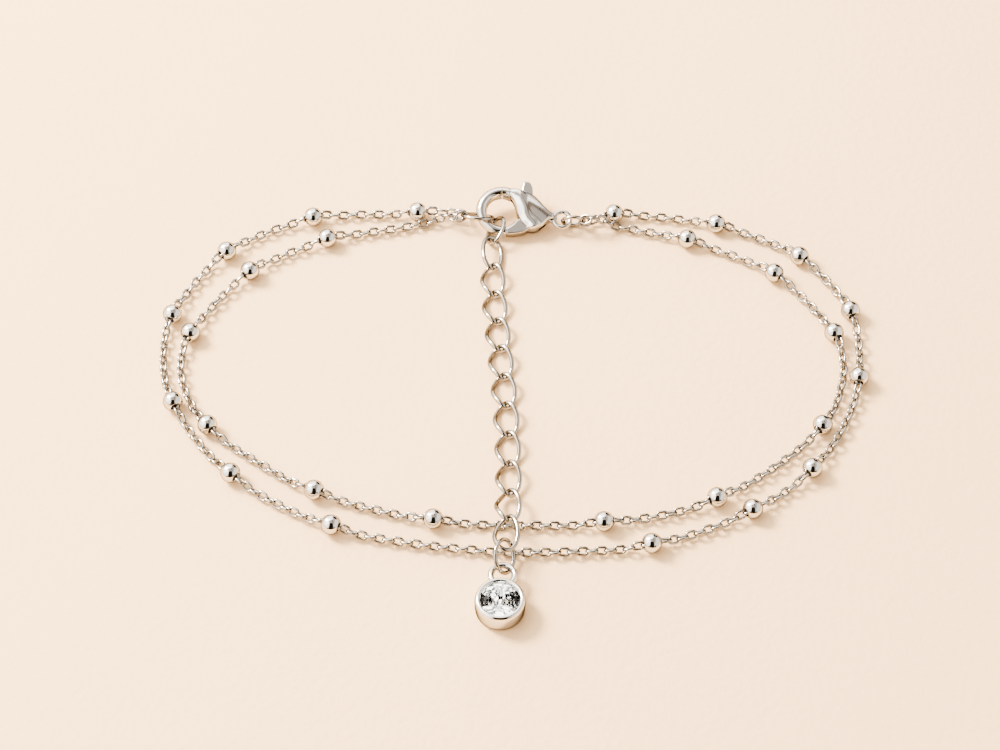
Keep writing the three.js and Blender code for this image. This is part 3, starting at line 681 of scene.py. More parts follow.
# The height towards which the strand pulls its end link, at each ring.
PULL_HEIGHT_MM = {"end_jump_ring": 0.7, "clasp_jump_ring": 0.8}
HANGS = {
    # the angle on the ring's wire, in degrees, at which each end link hangs
    "outer": {"end_jump_ring": 164, "clasp_jump_ring": 23},
    "inner": {"end_jump_ring": 196, "clasp_jump_ring": -23},
}


def end_link(ring_name, angle_degrees, toward):
    """The end link's middle line, its centre and the direction in which it hangs."""
    point, tangent = on_ring(RINGS[ring_name], math.radians(angle_degrees))
    out = Vector(toward) - point
    out = (out - tangent * out.dot(tangent)).normalized()
    side = tangent.cross(out)
    reach = END_LINK["half_length"] - END_LINK["wire"] / 2 - JUMP_WIRE_MM / 2 - END_LINK["play"]
    centre = point + out * reach
    loop = []
    for k in range(END_LINK["steps"]):
        turn = 2 * math.pi * k / END_LINK["steps"]
        loop.append(centre + out * END_LINK["half_length"] * math.cos(turn)
                    + side * END_LINK["half_width"] * math.sin(turn))
    return loop, centre, out


strands, end_loops = {}, {}
for name, route in (("outer", OUTER_ROUTE), ("inner", INNER_ROUTE)):
    end_loops[name], tips = [], []
    for ring_name, row in (("end_jump_ring", route[0]), ("clasp_jump_ring", route[-1])):
        toward = (row["x"], row["y"], PULL_HEIGHT_MM[ring_name])
        loop, centre, out = end_link(ring_name, HANGS[name][ring_name], toward)
        end_loops[name].append(loop)
        tips.append(centre + out * (END_LINK["half_length"] - END_LINK["overlap"]))
    strands[name] = Strand(route, *tips)
    print(name, "strand is", round(strands[name].length, 1), "mm long with",
          len(strands[name].beads), "beads")


# %% [markdown]
# ## Cable chain
# The chain is a plain cable chain: oval links of fine round wire, each turned a quarter
# against the last, so that lying chain rests on edges at 45 degrees either way. Geometry
# Nodes place the links. A curve from bead to bead is cut at the links' pitch, and each point
# gets a link that follows the curve, rolled one way or the other by its number, with a
# little chance in the roll, because real links have play. The links stop inside the beads'
# holes. An Array modifier with a Curve modifier would bend every link along with the curve,
# and copies set by nodes keep their shape.

# %% One link, and which way it faces
LINK = {"length": 1.42, "width": 1.05, "wire": 0.3, "pitch": 0.9, "roll": 45, "roll_play": 9,
        "steps": 12, "sides": 6}  # few, because there are hundreds of links


def oval_link(tree, sizes):
    """One link: a circle of wire, pulled apart at its middle."""
    circle = add_node(
        tree, "GeometryNodeCurvePrimitiveCircle", {},
        {"Resolution": LINK["steps"], "Radius": sizes["Bend Radius"]})
    here = add_node(tree, "GeometryNodeInputPosition")
    parts = add_node(tree, "ShaderNodeSeparateXYZ", {}, {"Vector": here.outputs["Position"]})
    half = add_node(tree, "ShaderNodeMath", {"operation": "SIGN"}, {0: parts.outputs["X"]})
    pull = add_node(
        tree, "ShaderNodeMath", {"operation": "MULTIPLY"},
        {0: half.outputs["Value"], 1: sizes["Half Straight"]})
    shift = add_node(tree, "ShaderNodeCombineXYZ", {}, {"X": pull.outputs["Value"]})
    oval = add_node(
        tree, "GeometryNodeSetPosition", {},
        {"Geometry": circle.outputs["Curve"], "Offset": shift.outputs["Vector"]})
    section = add_node(
        tree, "GeometryNodeCurvePrimitiveCircle", {},
        {"Resolution": LINK["sides"], "Radius": sizes["Wire Radius"]})
    wire = add_node(
        tree, "GeometryNodeCurveToMesh", {},
        {"Curve": oval.outputs["Geometry"], "Profile Curve": section.outputs["Curve"]})
    link = add_node(tree, "GeometryNodeSetShadeSmooth", {}, {"Geometry": wire.outputs["Mesh"]})
    return link.outputs["Geometry"]


def link_roll(tree, sizes):
    """How far each link is rolled: to one side or the other by its number, give or take play."""
    number = add_node(tree, "GeometryNodeInputIndex")
    odd = add_node(
        tree, "ShaderNodeMath", {"operation": "MODULO"}, {0: number.outputs["Index"], 1: 2.0})
    side = add_node(
        tree, "ShaderNodeMath", {"operation": "MULTIPLY_ADD"},
        {0: odd.outputs["Value"], 1: 2.0, 2: -1.0})
    least = add_node(
        tree, "ShaderNodeMath", {"operation": "MULTIPLY"}, {0: sizes["Roll Play"], 1: -1.0})
    chance = add_node(
        tree, "FunctionNodeRandomValue", {"data_type": "FLOAT"},
        {2: least.outputs["Value"], 3: sizes["Roll Play"], "Seed": sizes["Seed"]})
    roll = add_node(
        tree, "ShaderNodeMath", {"operation": "MULTIPLY_ADD"},
        {0: side.outputs["Value"], 1: sizes["Roll"], 2: chance.outputs[1]})
    return roll.outputs["Value"]


# %% Links on a line
def cable_chain_tree():
    """Oval links along the carrier's lines."""
    tree, sizes = new_tree("cable_chain", {
        "Pitch": "Float", "Half Straight": "Float", "Bend Radius": "Float",
        "Wire Radius": "Float", "Roll": "Float", "Roll Play": "Float", "Seed": "Int",
        "Material": "Material"})
    cut = add_node(
        tree, "GeometryNodeResampleCurve", {"mode": "LENGTH"},
        {"Curve": sizes["Geometry"], "Length": sizes["Pitch"]})
    places = add_node(
        tree, "GeometryNodeCurveToPoints", {"mode": "EVALUATED"},
        {"Curve": cut.outputs["Curve"]})
    # A link lies along the curve, and its other axis starts upright.
    along = add_node(
        tree, "FunctionNodeAxesToRotation", {"primary_axis": "X", "secondary_axis": "Z"},
        {"Primary Axis": places.outputs["Tangent"], "Secondary Axis": (0, 0, 1)})
    turn = add_node(tree, "ShaderNodeCombineXYZ", {}, {"X": link_roll(tree, sizes)})
    turned = add_node(
        tree, "FunctionNodeRotateRotation", {"rotation_space": "LOCAL"},
        {"Rotation": along.outputs["Rotation"], "Rotate By": turn.outputs["Vector"]})
    links = add_node(
        tree, "GeometryNodeInstanceOnPoints", {},
        {"Points": places.outputs["Points"], "Instance": oval_link(tree, sizes),
         "Rotation": turned.outputs["Rotation"]})
    end_tree(tree, links.outputs["Instances"], sizes["Material"])
    return tree


# %% Lay the chain
INTO_BEAD_MM = 0.35  # the middle of a run's last link is this deep in a bead's hole
FIRST_LINK_MM = 0.4  # the first link's middle, from the strand's end
RUN_STEP_MM = 0.25  # the line under the links has a point about this often


def chain_runs(strand):
    """The stretches of bare chain, from end link or bead to the next, as lines of points."""
    inside = BEAD["half_length"] - INTO_BEAD_MM
    stops = [FIRST_LINK_MM] + [s + d * inside for s in strand.beads for d in (-1, 1)]
    stops.append(strand.length - FIRST_LINK_MM)
    runs = []
    for start, stop in zip(stops[::2], stops[1::2]):
        count = max(2, int((stop - start) / RUN_STEP_MM))
        runs.append([strand.point(start + (stop - start) * k / count) for k in range(count + 1)])
    return runs


cable_chain = cable_chain_tree()
for seed, (name, strand) in enumerate(strands.items()):
    carrier = line_object(name + "_line", chain_runs(strand), closed=False)
    chain_piece = grown(name + "_cable_chain", carrier, cable_chain, {
        "Pitch": LINK["pitch"] * MM,
        "Half Straight": (LINK["length"] - LINK["width"]) / 2 * MM,
        "Bend Radius": (LINK["width"] - LINK["wire"]) / 2 * MM,
        "Wire Radius": LINK["wire"] / 2 * MM,
        "Roll": math.radians(LINK["roll"]), "Roll Play": math.radians(LINK["roll_play"]),
        "Seed": seed, "Material": chain_polish})
    end_piece = grown(
        name + "_end_links", line_object(name + "_end_line", end_loops[name], closed=True),
        round_wire,
        {"Wire Radius": END_LINK["wire"] / 2 * MM, "Sides": END_LINK["sides"],
         "Material": chain_polish})
    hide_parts(name + "_strand")
    for piece in (chain_piece, end_piece):
        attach(piece, "bracelet")


# %% [markdown]
# ## Station beads
# Each bead is a small ball, drilled through and threaded on the chain. The drill leaves a
# flat ring with a fine rounded lip at both ends. A sphere with a hole cut through it would
# have long thin faces round the hole and no lip. So one bead is turned on the lathe, and
# Geometry Nodes set a copy on each place, turned to the chain's heading there.

# %% One bead
BEAD_ROWS = 24
BEAD_SEGMENTS = 48
LIP_MM = 0.05
LIP_CORNER = 0.3  # the lip's corner is cut off at this share of its width


def bead_profile():
    """Rows of (radius, height) round a bead, its hole along Z."""
    half, hole = BEAD["half_length"], BEAD["hole"]
    edge = math.asin((half - LIP_MM / 2) / BEAD["radius"])
    rows = []
    for k in range(BEAD_ROWS + 1):
        turn = -edge + 2 * edge * k / BEAD_ROWS
        rows.append((BEAD["radius"] * math.cos(turn), BEAD["radius"] * math.sin(turn)))
    corner = LIP_MM * LIP_CORNER
    top = [(hole + LIP_MM, half), (hole + corner, half - corner), (hole, half - LIP_MM)]
    rows += top
    rows += [(r, -z) for r, z in reversed(top)]
    return rows


bead_shape = lathe("bead_shape", bead_profile(), BEAD_SEGMENTS, bead_polish, sharp_degrees=60)
print("faces of one bead:", len(bead_shape.data.polygons))


# %% Beads on their places
def bead_tree(shape):
    """A bead at each point of the carrier, its hole along the point's heading."""
    tree, sizes = new_tree("station_beads", {"Material": "Material"})
    heading = add_node(
        tree, "GeometryNodeInputNamedAttribute", {"data_type": "FLOAT_VECTOR"},
        {"Name": "heading"})
    facing = add_node(
        tree, "FunctionNodeAxesToRotation", {"primary_axis": "Z", "secondary_axis": "X"},
        {"Primary Axis": heading.outputs["Attribute"], "Secondary Axis": (0, 0, 1)})
    one = add_node(tree, "GeometryNodeObjectInfo", {}, {"Object": shape, "As Instance": True})
    beads = add_node(
        tree, "GeometryNodeInstanceOnPoints", {},
        {"Points": sizes["Geometry"], "Instance": one.outputs["Geometry"],
         "Rotation": facing.outputs["Rotation"]})
    end_tree(tree, beads.outputs["Instances"], sizes["Material"])
    return tree


station_beads = bead_tree(bead_shape)
for name, strand in strands.items():
    ends = [(strand.point(s - BEAD["hold"]), strand.point(s + BEAD["hold"])) for s in strand.beads]
    carrier_mesh = bpy.data.meshes.new(name + "_stations")
    carrier_mesh.from_pydata([tuple((a + b) / 2 * MM) for a, b in ends], [], [])
    headings = carrier_mesh.attributes.new("heading", "FLOAT_VECTOR", "POINT")
    headings.data.foreach_set("vector", [c for a, b in ends for c in (b - a).normalized()])
    carrier = bpy.data.objects.new(name + "_stations", carrier_mesh)
    bpy.context.scene.collection.objects.link(carrier)
    beads_piece = grown(name + "_station_beads", carrier, station_beads, {"Material": bead_polish})
    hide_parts(*[f"{name}_bead_{k + 1:02d}" for k in range(len(ends))])
    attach(beads_piece, "bracelet")
bpy.data.objects.remove(bead_shape)


# %% [markdown]
# ## Extender
# The extender is a curb chain: its links are twisted, so that the chain lies flat and each
# link leans over the next. A link's middle line is an oval whose plane turns about the
# link's length, 45 degrees one way at one end and 45 the other way at the other. Three links
# hang otherwise: the flat oval one on the hook, the one beside it, and the last, which holds
# the drop's ring. An Array modifier would make them all alike, so a formula gives each its own
# middle line, and the round wire tree gives all twelve their wire.

# %% Extender links
CURB = {"wire": 0.45, "pitch": 3.72, "gap": 0.07, "half_width": 1.175, "steps": 64, "sides": 18,
        "fullness": 0.92}  # below 1, the oval's shoulders are a little fuller
LINK_COUNT = 12
PLAIN_TWIST = (-45, 45)  # a link's turn at its far and near end, in degrees
TWISTS = {1: (-34, -31), 11: (-20, 45)}  # counted from the first link, which is 0
FIRST_LINK = {"half_length": 1.64, "half_width": 1.15, "far_turn": 43, "near_turn": 43,
              "centre": (-1.765, 22.43, 1.0), "axis": (0.2, 0.97, 0.1)}
FINE_STEPS = 600
EXTENDER_ROUTE = [
    (-2.15, 21.1, 1.0), (-2.05, 14.5, 0.69), (-1.42, 6.7, 0.69), (-0.75, -1.2, 0.69),
    (-0.45, -8.8, 0.71), (-0.45, -12.4, 1.0), (-0.55, -16.0, 1.75), (-0.8, -19.8, 2.2),
]


def curb_loop(half_length, half_width, far_turn, near_turn, centre, axis):
    """The middle line of one link. The turns are in degrees. The axis points to its near end."""
    y_axis = Vector(axis).normalized()
    x_axis = y_axis.cross(Vector((0, 0, 1))).normalized()
    z_axis = x_axis.cross(y_axis)
    loop = []
    for k in range(CURB["steps"]):
        angle = 2 * math.pi * k / CURB["steps"]
        y = half_length * math.sin(angle)
        turn = math.radians(far_turn + (near_turn - far_turn) * (y / half_length + 1) / 2)
        x = half_width * math.copysign(abs(math.cos(angle)) ** CURB["fullness"], math.cos(angle))
        loop.append(Vector(centre) + y_axis * y
                    + x_axis * x * math.cos(turn) + z_axis * x * math.sin(turn))
    return loop


def extender_joints(count):
    """Points along the extender one pitch apart, where one link hangs in the next."""
    line = smooth_line(EXTENDER_ROUTE, FINE_STEPS)
    joints = [Vector(line[0])]
    for point in line:
        if len(joints) < count and (Vector(point) - joints[-1]).length >= CURB["pitch"]:
            joints.append(Vector(point))
    while len(joints) < count:
        joints.append(Vector(line[-1]))
    return joints


half_length = (CURB["pitch"] + CURB["wire"] + CURB["gap"]) / 2
curb_loops = [curb_loop(**FIRST_LINK)]
joints = extender_joints(LINK_COUNT)
for number, (near, far) in enumerate(zip(joints, joints[1:]), start=1):
    far_turn, near_turn = TWISTS.get(number, PLAIN_TWIST)
    curb_loops.append(curb_loop(
        half_length, CURB["half_width"], far_turn, near_turn, (near + far) / 2, near - far))
extender = grown(
    "curb_extender", line_object("curb_lines", curb_loops, closed=True), round_wire,
    {"Wire Radius": CURB["wire"] / 2 * MM, "Sides": CURB["sides"], "Material": wire_polish})
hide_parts(*[f"extender_link_{k:02d}" for k in range(1, 13)])
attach(extender, "bracelet")


# %% [markdown]
# ## Lobster clasp
# The clasp is a small casting, polished all over: a round hook, two cheeks that hold the
# lever between them, and an eyelet. It is worked out in its own plane, where u runs along
# the clasp, v across it and w through its thickness, and then set in place. The cheeks are
# one smooth patch between the edge of the opening and the outer edge. It swells to a shoulder
# beside the opening, and beyond a soft valley a low ridge runs down the tail. Such a casting
# is often sculpted, or modelled as a subdivision surface. Here its thickness is a formula, so
# every size stays a number, and Booleans cut it with the clearances that the lever needs.

# %% Clasp frame and cutting tools
CLASP = {
    "centre": (-1.12, 24.67, 1.6), "tilt": 17, "pivot": (2.45, 1.88),
    # the gate is cut by circles about the pivot, with a seam beyond it and a gap at its root
    "gate_reach": 2.37, "gate_root": 1.6, "seam": 0.07, "root_gap": 0.03,
}
DISC_SIDES = 144
SECTION_SIDES = 32  # round a bent wire
CREASE_DEGREES = 32  # sharper edges than this stay crisp after a cut
SOFT_EDGE_DEGREES = 50  # and sharper ones than this are rounded on a plate
SOFT_EDGE_SEGMENTS = 4
FLAT_NORMAL = 0.999  # a face whose normal has this much of w is a flat one
clasp_place = Matrix.Translation(Vector(CLASP["centre"]) * MM) @ Matrix.Rotation(
    math.radians(CLASP["tilt"]), 4, "X")


def arc_points(centre, radius, start, stop, count):
    """Points on an arc. The angles are in degrees."""
    points = []
    for k in range(count + 1):
        angle = math.radians(start + (stop - start) * k / count)
        points.append((centre[0] + radius * math.cos(angle), centre[1] + radius * math.sin(angle)))
    return points


def prism(name, outline, half_thickness, material=None):
    """An outline made a plate, its middle on w = 0."""
    count = len(outline)
    points = [(x, y, -half_thickness) for x, y in outline]
    points += [(x, y, half_thickness) for x, y in outline]
    faces = rings_to_faces(2, count, closed_along=False, capped=True)
    return mesh_object(name, points, faces, material)


def disc(name, radius, half_thickness=2.0):
    """A round plate about the lever's pivot, thicker than the whole clasp."""
    last = DISC_SIDES - 1
    outline = arc_points(CLASP["pivot"], radius, 0, 360 * last / DISC_SIDES, last)
    return prism(name, outline, half_thickness)


def baked(piece, modifier_kind, settings):
    """Adds a modifier and keeps its result as the piece's own mesh."""
    modifier = piece.modifiers.new("step", modifier_kind)
    for name, value in settings.items():
        setattr(modifier, name, value)
    evaluated = piece.evaluated_get(bpy.context.evaluated_depsgraph_get())
    mesh = bpy.data.meshes.new_from_object(evaluated)
    piece.modifiers.clear()
    piece.data = mesh
    return piece


def carve(piece, tool, operation="DIFFERENCE"):
    """Cuts a piece with a tool, which is then thrown away."""
    baked(piece, "BOOLEAN", {"operation": operation, "solver": "EXACT", "object": tool})
    bpy.data.objects.remove(tool)
    piece.data.set_sharp_from_angle(angle=math.radians(CREASE_DEGREES))
    return piece


def soften(piece, width_mm):
    """Rounds a plate's edges, and keeps its flat faces flat."""
    baked(piece, "BEVEL", {
        "width": width_mm * MM, "segments": SOFT_EDGE_SEGMENTS, "limit_method": "ANGLE",
        "angle_limit": math.radians(SOFT_EDGE_DEGREES)})
    shell = bmesh.new()
    shell.from_mesh(piece.data)
    for edge in shell.edges:
        flat = [abs(face.normal.z) > FLAT_NORMAL for face in edge.link_faces]
        edge.smooth = len(set(flat)) == 1
    shell.to_mesh(piece.data)
    shell.free()
    return piece


def joined(name, pieces):
    """Several closed meshes as one object."""
    shell = bmesh.new()
    for piece in pieces:
        shell.from_mesh(piece.data)
    mesh = bpy.data.meshes.new(name)
    shell.to_mesh(mesh)
    shell.free()
    mesh.materials.append(pieces[0].data.materials[0])
    for piece in pieces:
        bpy.data.objects.remove(piece)
    whole = bpy.data.objects.new(name, mesh)
    bpy.context.scene.collection.objects.link(whole)
    return whole


def bent_wire(name, centre, sizes, steps):
    """Wire bent round a centre in the clasp's plane. The table gives its size along the way."""
    start, stop = sizes[0]["turn"], sizes[-1]["turn"]
    closed = stop - start == 360
    rows = steps if closed else steps + 1
    points = []
    for i in range(rows):
        degrees = start + (stop - start) * i / steps
        radius, wire, height = (
            np.interp(degrees, [r["turn"] for r in sizes], [r[size] for r in sizes])
            for size in ("radius", "wire", "height"))
        turn = math.radians(degrees)
        for k in range(SECTION_SIDES):
            bend = 2 * math.pi * k / SECTION_SIDES
            reach_out = radius + wire * math.cos(bend)
            points.append((centre[0] + reach_out * math.cos(turn),
                           centre[1] + reach_out * math.sin(turn), height * math.sin(bend)))
    faces = rings_to_faces(rows, SECTION_SIDES, closed_along=closed, capped=not closed)
    return mesh_object(name, points, faces, cast_polish)


# %% Hook
# At a turn about the clasp's middle: the bend's radius, and half the wire's width and height.
HOOK_SIZES = [
    {"turn": 78, "radius": 2.19, "wire": 0.65, "height": 0.9},
    {"turn": 120, "radius": 2.2, "wire": 0.64, "height": 0.84},
    {"turn": 180, "radius": 2.22, "wire": 0.61, "height": 0.7},
    {"turn": 240, "radius": 2.27, "wire": 0.54, "height": 0.56},
    {"turn": 280, "radius": 2.36, "wire": 0.46, "height": 0.48},
    {"turn": 318, "radius": 2.36, "wire": 0.46, "height": 0.48},
]
HOOK_STEPS = 80
ROOT_OUTLINE = [
    (0.36, -2.36), (0.68, -2.17), (1.02, -1.94), (1.35, -1.66), (1.72, -1.2), (2.6, -1.0),
    (3.1, -2.25), (2.4, -2.68), (1.9, -2.8), (1.2, -2.9), (0.5, -2.88)]
ROOT_HALF_MM = 0.58
ROOT_EDGE_MM = 0.14


def hook():
    """The hook's wire, from the seam at the lever round into the root."""
    wire = bent_wire("hook", (0, 0), HOOK_SIZES, HOOK_STEPS)
    return carve(wire, disc("swing", CLASP["gate_reach"] + CLASP["seam"]))


def hook_root():
    """The hook's root, with a flat face and rounded edges."""
    return soften(prism("hook_root", ROOT_OUTLINE, ROOT_HALF_MM, cast_polish), ROOT_EDGE_MM)


# %% The cheeks' edges and thickness
OPENING_EDGE = [
    (0.9, 1.42), (1.24, 1.0), (1.46, 0.5), (1.59, 0.0), (1.7, -0.5), (1.87, -1.04),
    (2.16, -1.6), (2.62, -2.12)]
OUTER_EDGE = [
    (1.02, 2.62), (1.5, 2.56), (2.2, 2.3), (2.9, 2.08), (3.6, 1.72), (4.22, 1.06), (4.9, 0.25),
    (5.4, -0.24), (5.72, -0.5), (5.74, -1.0), (5.3, -1.12), (4.85, -1.52), (4.4, -1.95),
    (3.75, -2.3), (3.15, -2.38), (2.78, -2.3)]
# The shoulder round the opening: its half thickness, and how far its crest is from the edge.
SHOULDER_ROWS = [
    {"u": 0.8, "w": 0.84, "crest": 0.6}, {"u": 1.4, "w": 0.93, "crest": 0.8},
    {"u": 2.1, "w": 1.0, "crest": 1.0}, {"u": 3.2, "w": 1.0, "crest": 1.0}]
SHOULDER_FALL = {"inwards": 0.42, "outwards": 0.6}  # times the squared distance to the crest
# The tail: its half thickness where it starts, and how that falls along it and to both sides
# of its ridge, which leans down across the clasp.
TAIL = {"start": (2.4, 0.6), "w": 0.97, "slope": 0.015, "curve": 0.022, "lean": 0.5,
        "ridge": 0.1, "ridge_shift": 0.1}
BLEND_AT, BLEND = (-1.0, 1.2), (0.12, 0.03)  # softness of the valley between them, along v
# Beside the gate the cheeks take the round section of the hook's wire. That starts where u
# has fallen to "from", and is complete once it has fallen by "over" more.
GATE_END = {"radius": 2.24, "wire": 0.62, "least": 0.04, "from": 1.7, "over": 0.8}
# The upright wall's share of the thickness, the width of the rounding above it at both edges,
# and how far and in how many rows the outer wall bulges.
RIM = {"wall": 0.5, "opening": 0.2, "outer": 0.26, "bulge": 0.07, "rows": 6}
EDGE_STEPS = 40


def even_points(points, count):
    """Points at even steps along a smooth line."""
    line = smooth_line(points, EDGE_STEPS)
    steps = np.concatenate([[0], np.cumsum(np.linalg.norm(np.diff(line, axis=0), axis=1))])
    at = np.linspace(0, steps[-1], count)
    return np.column_stack([np.interp(at, steps, line[:, axis]) for axis in (0, 1)])


def dome(share):
    """Height of a quarter round at a share of the way in from its edge."""
    return np.sqrt(np.clip(1 - (1 - np.clip(share, 0, 1)) ** 2, 0, 1))


def distance(points, line):
    """Each point's distance to a line."""
    return np.min(np.linalg.norm(points[:, None] - line[None], axis=2), axis=1)


def tail_heights(u, v):
    """Half thickness of the tail: a low ridge that falls away from the shoulder."""
    along = u - TAIL["start"][0]
    across = v - TAIL["start"][1] + TAIL["lean"] * along
    return (TAIL["w"] - TAIL["slope"] * along - TAIL["curve"] * along ** 2
            - TAIL["ridge"] * (across + TAIL["ridge_shift"]) ** 2)


def cheek_heights(places, opening_line, outer_line):
    """Half thickness at places in the clasp's plane."""
    u, v = places[:, 0], places[:, 1]
    from_opening = distance(places, opening_line)
    half, crest = (
        np.interp(u, [r["u"] for r in SHOULDER_ROWS], [r[size] for r in SHOULDER_ROWS])
        for size in ("w", "crest"))
    before = np.clip(crest - from_opening, 0, None)
    beyond = np.clip(from_opening - crest, 0, None)
    shoulder = (half - SHOULDER_FALL["inwards"] * before ** 2
                - SHOULDER_FALL["outwards"] * beyond ** 2)
    tail = tail_heights(u, v) - before
    blend = np.interp(v, BLEND_AT, BLEND)
    top = (shoulder + tail + np.sqrt((shoulder - tail) ** 2 + blend ** 2)) / 2
    from_wire = (np.hypot(u, v) - GATE_END["radius"]) / GATE_END["wire"]
    wire = half * np.sqrt(np.clip(1 - from_wire ** 2, GATE_END["least"], 1))
    top += (wire - top) * np.clip((GATE_END["from"] - u) / GATE_END["over"], 0, 1) ** 2
    wall = RIM["wall"] * top
    rounded = np.minimum(dome(from_opening / RIM["opening"]),
                         dome(distance(places, outer_line) / RIM["outer"]))
    return wall + (top - wall) * rounded


# %% The cheeks' skin
CHEEK_COLUMNS, CHEEK_ROWS = 120, 44


def cheek_places(inner, outer):
    """Places between the two edges, closer together near each of them."""
    shares = (1 - np.cos(np.pi * np.arange(CHEEK_ROWS + 1) / CHEEK_ROWS)) / 2
    return (inner[:, None] + (outer - inner)[:, None] * shares[None, :, None]).reshape(-1, 2)


def outward_ways(edge):
    """The way out of the clasp at each point of its outer edge."""
    along = np.gradient(edge, axis=0)
    outward = np.column_stack([-along[:, 1], along[:, 0]])
    return outward / np.linalg.norm(outward, axis=1)[:, None]


def cheek_skin():
    """The solid cheeks: a column runs over the top, round the outer wall and back below."""
    inner, outer = (even_points(edge, CHEEK_COLUMNS) for edge in (OPENING_EDGE, OUTER_EDGE))
    places = cheek_places(inner, outer)
    lines = [even_points(edge, FINE_STEPS) for edge in (OPENING_EDGE, OUTER_EDGE)]
    top = np.column_stack([places, cheek_heights(places, *lines)])
    points = []
    for line, normal in zip(top.reshape(CHEEK_COLUMNS, CHEEK_ROWS + 1, 3), outward_ways(outer)):
        points += [tuple(point) for point in line]
        for k in range(1, RIM["rows"]):
            lower = 1 - k / (RIM["rows"] / 2)
            u, v = line[-1, :2] + normal * RIM["bulge"] * (1 - lower ** 2)
            points.append((u, v, line[-1, 2] * lower))
        points += [(u, v, -w) for u, v, w in line[::-1]]
    size = len(points) // CHEEK_COLUMNS
    faces = rings_to_faces(CHEEK_COLUMNS, size, closed_along=False, capped=True)
    return mesh_object("cheeks", points, faces, cast_polish, sharp_degrees=50)


# %% What is cut out of the cheeks
# Arcs about the lever's pivot: round its hub, beyond the tab, and on the gate's side.
SLOT_ARCS = [
    {"radius": 0.74, "start": 255, "stop": 345, "count": 16},
    {"radius": 2.2, "start": 80, "stop": 160, "count": 12},
    {"radius": 1.9, "start": 170, "stop": 236, "count": 12}]
TAB_SIDE = [(3.6, 1.78), (3.54, 2.95), (3.5, 3.6)]
SPRING_SLOT_OUTLINE = [(4.05, -2.5), (4.95, -2.1), (4.75, -1.25), (4.0, -1.5)]
NOTCH = {"start": 150, "stop": 220, "outer_count": 32, "inner_count": 24}
CUT_HALF_MM = {"slot": 0.4, "spring_slot": 0.3, "notch": 1.3}


def slot_outline():
    """The slot in which the lever's arm lies and swings."""
    hub, tab, arm = (arc_points(CLASP["pivot"], **arc) for arc in SLOT_ARCS)
    return hub + TAB_SIDE + tab + arm


def notch_outline():
    """The notch that lets the gate out of the cheeks and back."""
    start, stop = NOTCH["start"], NOTCH["stop"]
    reach = CLASP["gate_reach"] + CLASP["seam"]
    root = CLASP["gate_root"] - CLASP["root_gap"]
    return (arc_points(CLASP["pivot"], reach, start, stop, NOTCH["outer_count"])
            + arc_points(CLASP["pivot"], root, stop, start, NOTCH["inner_count"]))


def cheeks():
    """The clasp's body, with the slot for the lever and the notch for its gate."""
    piece = cheek_skin()
    cuts = {"slot": slot_outline(), "spring_slot": SPRING_SLOT_OUTLINE, "notch": notch_outline()}
    for name, outline in cuts.items():
        carve(piece, prism(name, outline, CUT_HALF_MM[name]))
    return piece


# %% Eyelet and web
EYELET_CENTRE = (6.63, -0.98)
EYELET_RADIUS = 0.91
EYELET_WIRE = 0.24
EYELET_STEPS = 72
EYELET_SIZES = [
    {"turn": turn, "radius": EYELET_RADIUS, "wire": EYELET_WIRE, "height": EYELET_WIRE}
    for turn in (0, 360)]
WEB_OUTLINE = [
    (5.1, -0.3), (5.5, -0.26), (5.85, -0.2), (6.06, -0.36), (6.1, -0.8), (6.06, -1.3),
    (5.9, -1.5), (5.6, -1.44), (5.1, -1.1)]
WEB_HALF_MM = 0.22
WEB_EDGE_MM = 0.05

eyelet = bent_wire("eyelet", EYELET_CENTRE, EYELET_SIZES, EYELET_STEPS)
web = soften(prism("web", WEB_OUTLINE, WEB_HALF_MM, cast_polish), WEB_EDGE_MM)
casting = joined("clasp_casting", [cheeks(), hook(), hook_root(), eyelet, web])
casting.data.transform(clasp_place)
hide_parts("clasp_body")
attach(casting, "bracelet")
print("clasp faces:", len(casting.data.polygons))


# %% [markdown]
# ## Lever
# The lever fills the gap in the hook with a piece of the same round wire, runs between the
# cheeks to its pivot and comes out at the top as a flat paddle for the thumb nail. It could be
# cut off the hook's own end. Here it is a stretch of wire trimmed by two circles about the
# pivot, so it stays between those circles at every angle. It rides on its own body and turns
# with the joint.

# %% Lever
# The same columns as for the hook.
GATE_SIZES = [
    {"turn": 48, "radius": 2.2, "wire": 0.62, "height": 0.94},
    {"turn": 66, "radius": 2.19, "wire": 0.65, "height": 0.93},
    {"turn": 92, "radius": 2.19, "wire": 0.65, "height": 0.9},
]
GATE_STEPS = 36
ARM_HUB = {"radius": 0.64, "start": 200, "stop": 350, "count": 12}
ARM_HALF_MM = 0.34
ARM_EDGE_MM = 0.14
TAB_OUTLINE = [
    (3.5, 1.86), (3.46, 2.5), (3.38, 2.92), (3.2, 3.3), (2.98, 3.47), (2.75, 3.53), (2.5, 3.46),
    (2.37, 3.25), (2.28, 2.7), (2.25, 2.42)]
ARM_OUTLINE = [(1.9, 2.3), (0.85, 2.33), (0.8, 1.72), (1.4, 1.6)]


def lever():
    """The gate, the arm and the thumb tab as one piece."""
    gate = bent_wire("gate", (0, 0), GATE_SIZES, GATE_STEPS)
    carve(gate, disc("reach", CLASP["gate_reach"]), "INTERSECT")
    carve(gate, disc("root", CLASP["gate_root"]))
    outline = arc_points(CLASP["pivot"], **ARM_HUB) + TAB_OUTLINE + ARM_OUTLINE
    arm = soften(prism("arm", outline, ARM_HALF_MM, cast_polish), ARM_EDGE_MM)
    return joined("clasp_thumb_lever", [gate, arm])


lever_piece = lever()
lever_piece.data.transform(clasp_place)
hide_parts("clasp_lever")
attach(lever_piece, "lever")

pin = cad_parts["clasp_pin"]
pin.data.materials.clear()
pin.data.materials.append(pin_steel)
print("lever faces:", len(lever_piece.data.polygons))


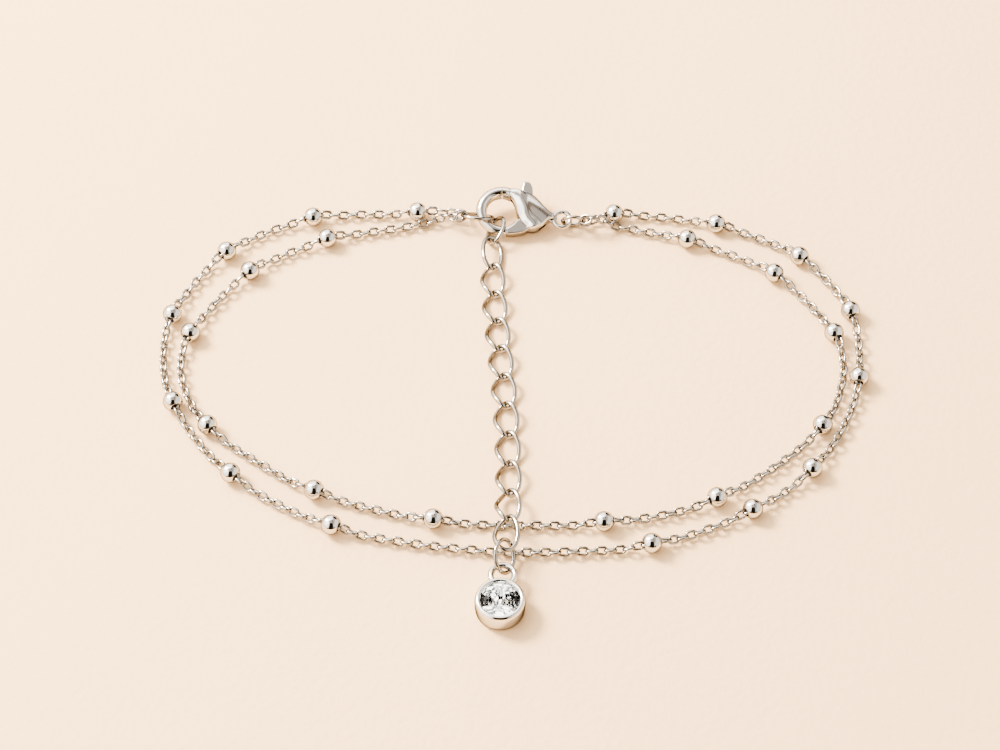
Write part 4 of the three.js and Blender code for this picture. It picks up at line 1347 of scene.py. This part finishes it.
# %% [markdown]
# ## Stone drop
# The drop is a turned bezel cup with a brilliant-cut stone, and a ring soldered to its side.
# The cup's wall is thick and its rim is rolled over the stone's edge. A cylinder with bevels
# would have an even rim, so it is one lathe profile instead, as a turner would see it. The
# bail is bent wire, and its ends go into the wall where the solder is. The stone keeps its
# solid's own flat facets.

# %% Bezel cup
DROP = {"centre": (-1.3, -25.54, 0), "turn": -5}
drop_place = Matrix.Translation([c * MM for c in DROP["centre"]]) @ Matrix.Rotation(
    math.radians(DROP["turn"]), 4, "Z")
# The bail reaches half_arc degrees to each side of its far point, at the height "middle".
BAIL = {"distance": 3.1, "radius": 1.18, "wire": 0.3, "height_ratio": 1.25, "middle": 1.45,
        "half_arc": 138, "steps": 72, "sides": 24}
CUP_SEGMENTS = 128

# Rows of (radius, height): the outside up to the rim, then the inside down to the middle.
CUP_PROFILE = [
    (0.001, 0), (2.0, 0), (2.2, 0.03), (2.33, 0.12), (2.42, 0.28), (2.46, 0.5), (2.49, 0.8),
    (2.5, 1.1), (2.5, 1.45), (2.49, 1.75), (2.46, 1.96), (2.42, 2.09), (2.36, 2.19),
    (2.28, 2.26), (2.2, 2.29), (2.1, 2.285), (2.03, 2.24), (1.97, 2.15), (1.93, 2.04),
    (1.92, 1.97), (1.94, 1.91), (2.08, 1.84), (2.08, 1.6), (1.6, 1.24), (0.9, 0.7),
    (0.35, 0.28), (0.001, 0.28),
]
cup = lathe("cup", CUP_PROFILE, CUP_SEGMENTS, bezel_polish, sharp_degrees=50)


def bail():
    """The soldered ring, its ends inside the cup's wall."""
    points = []
    for i in range(BAIL["steps"] + 1):
        turn = math.radians(90 - BAIL["half_arc"] + 2 * BAIL["half_arc"] * i / BAIL["steps"])
        for k in range(BAIL["sides"]):
            bend = 2 * math.pi * k / BAIL["sides"]
            out = BAIL["radius"] + BAIL["wire"] * math.cos(bend)
            points.append((
                out * math.cos(turn), BAIL["distance"] + out * math.sin(turn),
                BAIL["middle"] + BAIL["wire"] * BAIL["height_ratio"] * math.sin(bend)))
    faces = rings_to_faces(BAIL["steps"] + 1, BAIL["sides"], closed_along=False, capped=True)
    return mesh_object("bail", points, faces, bezel_polish, sharp_degrees=50)


setting_piece = joined("bezel_and_bail", [cup, bail()])
setting_piece.data.transform(drop_place)
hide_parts("drop_setting")
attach(setting_piece, "bracelet")

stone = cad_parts["drop_stone"]
stone.data.materials.clear()
stone.data.materials.append(crystal)
print("setting faces:", len(setting_piece.data.polygons))
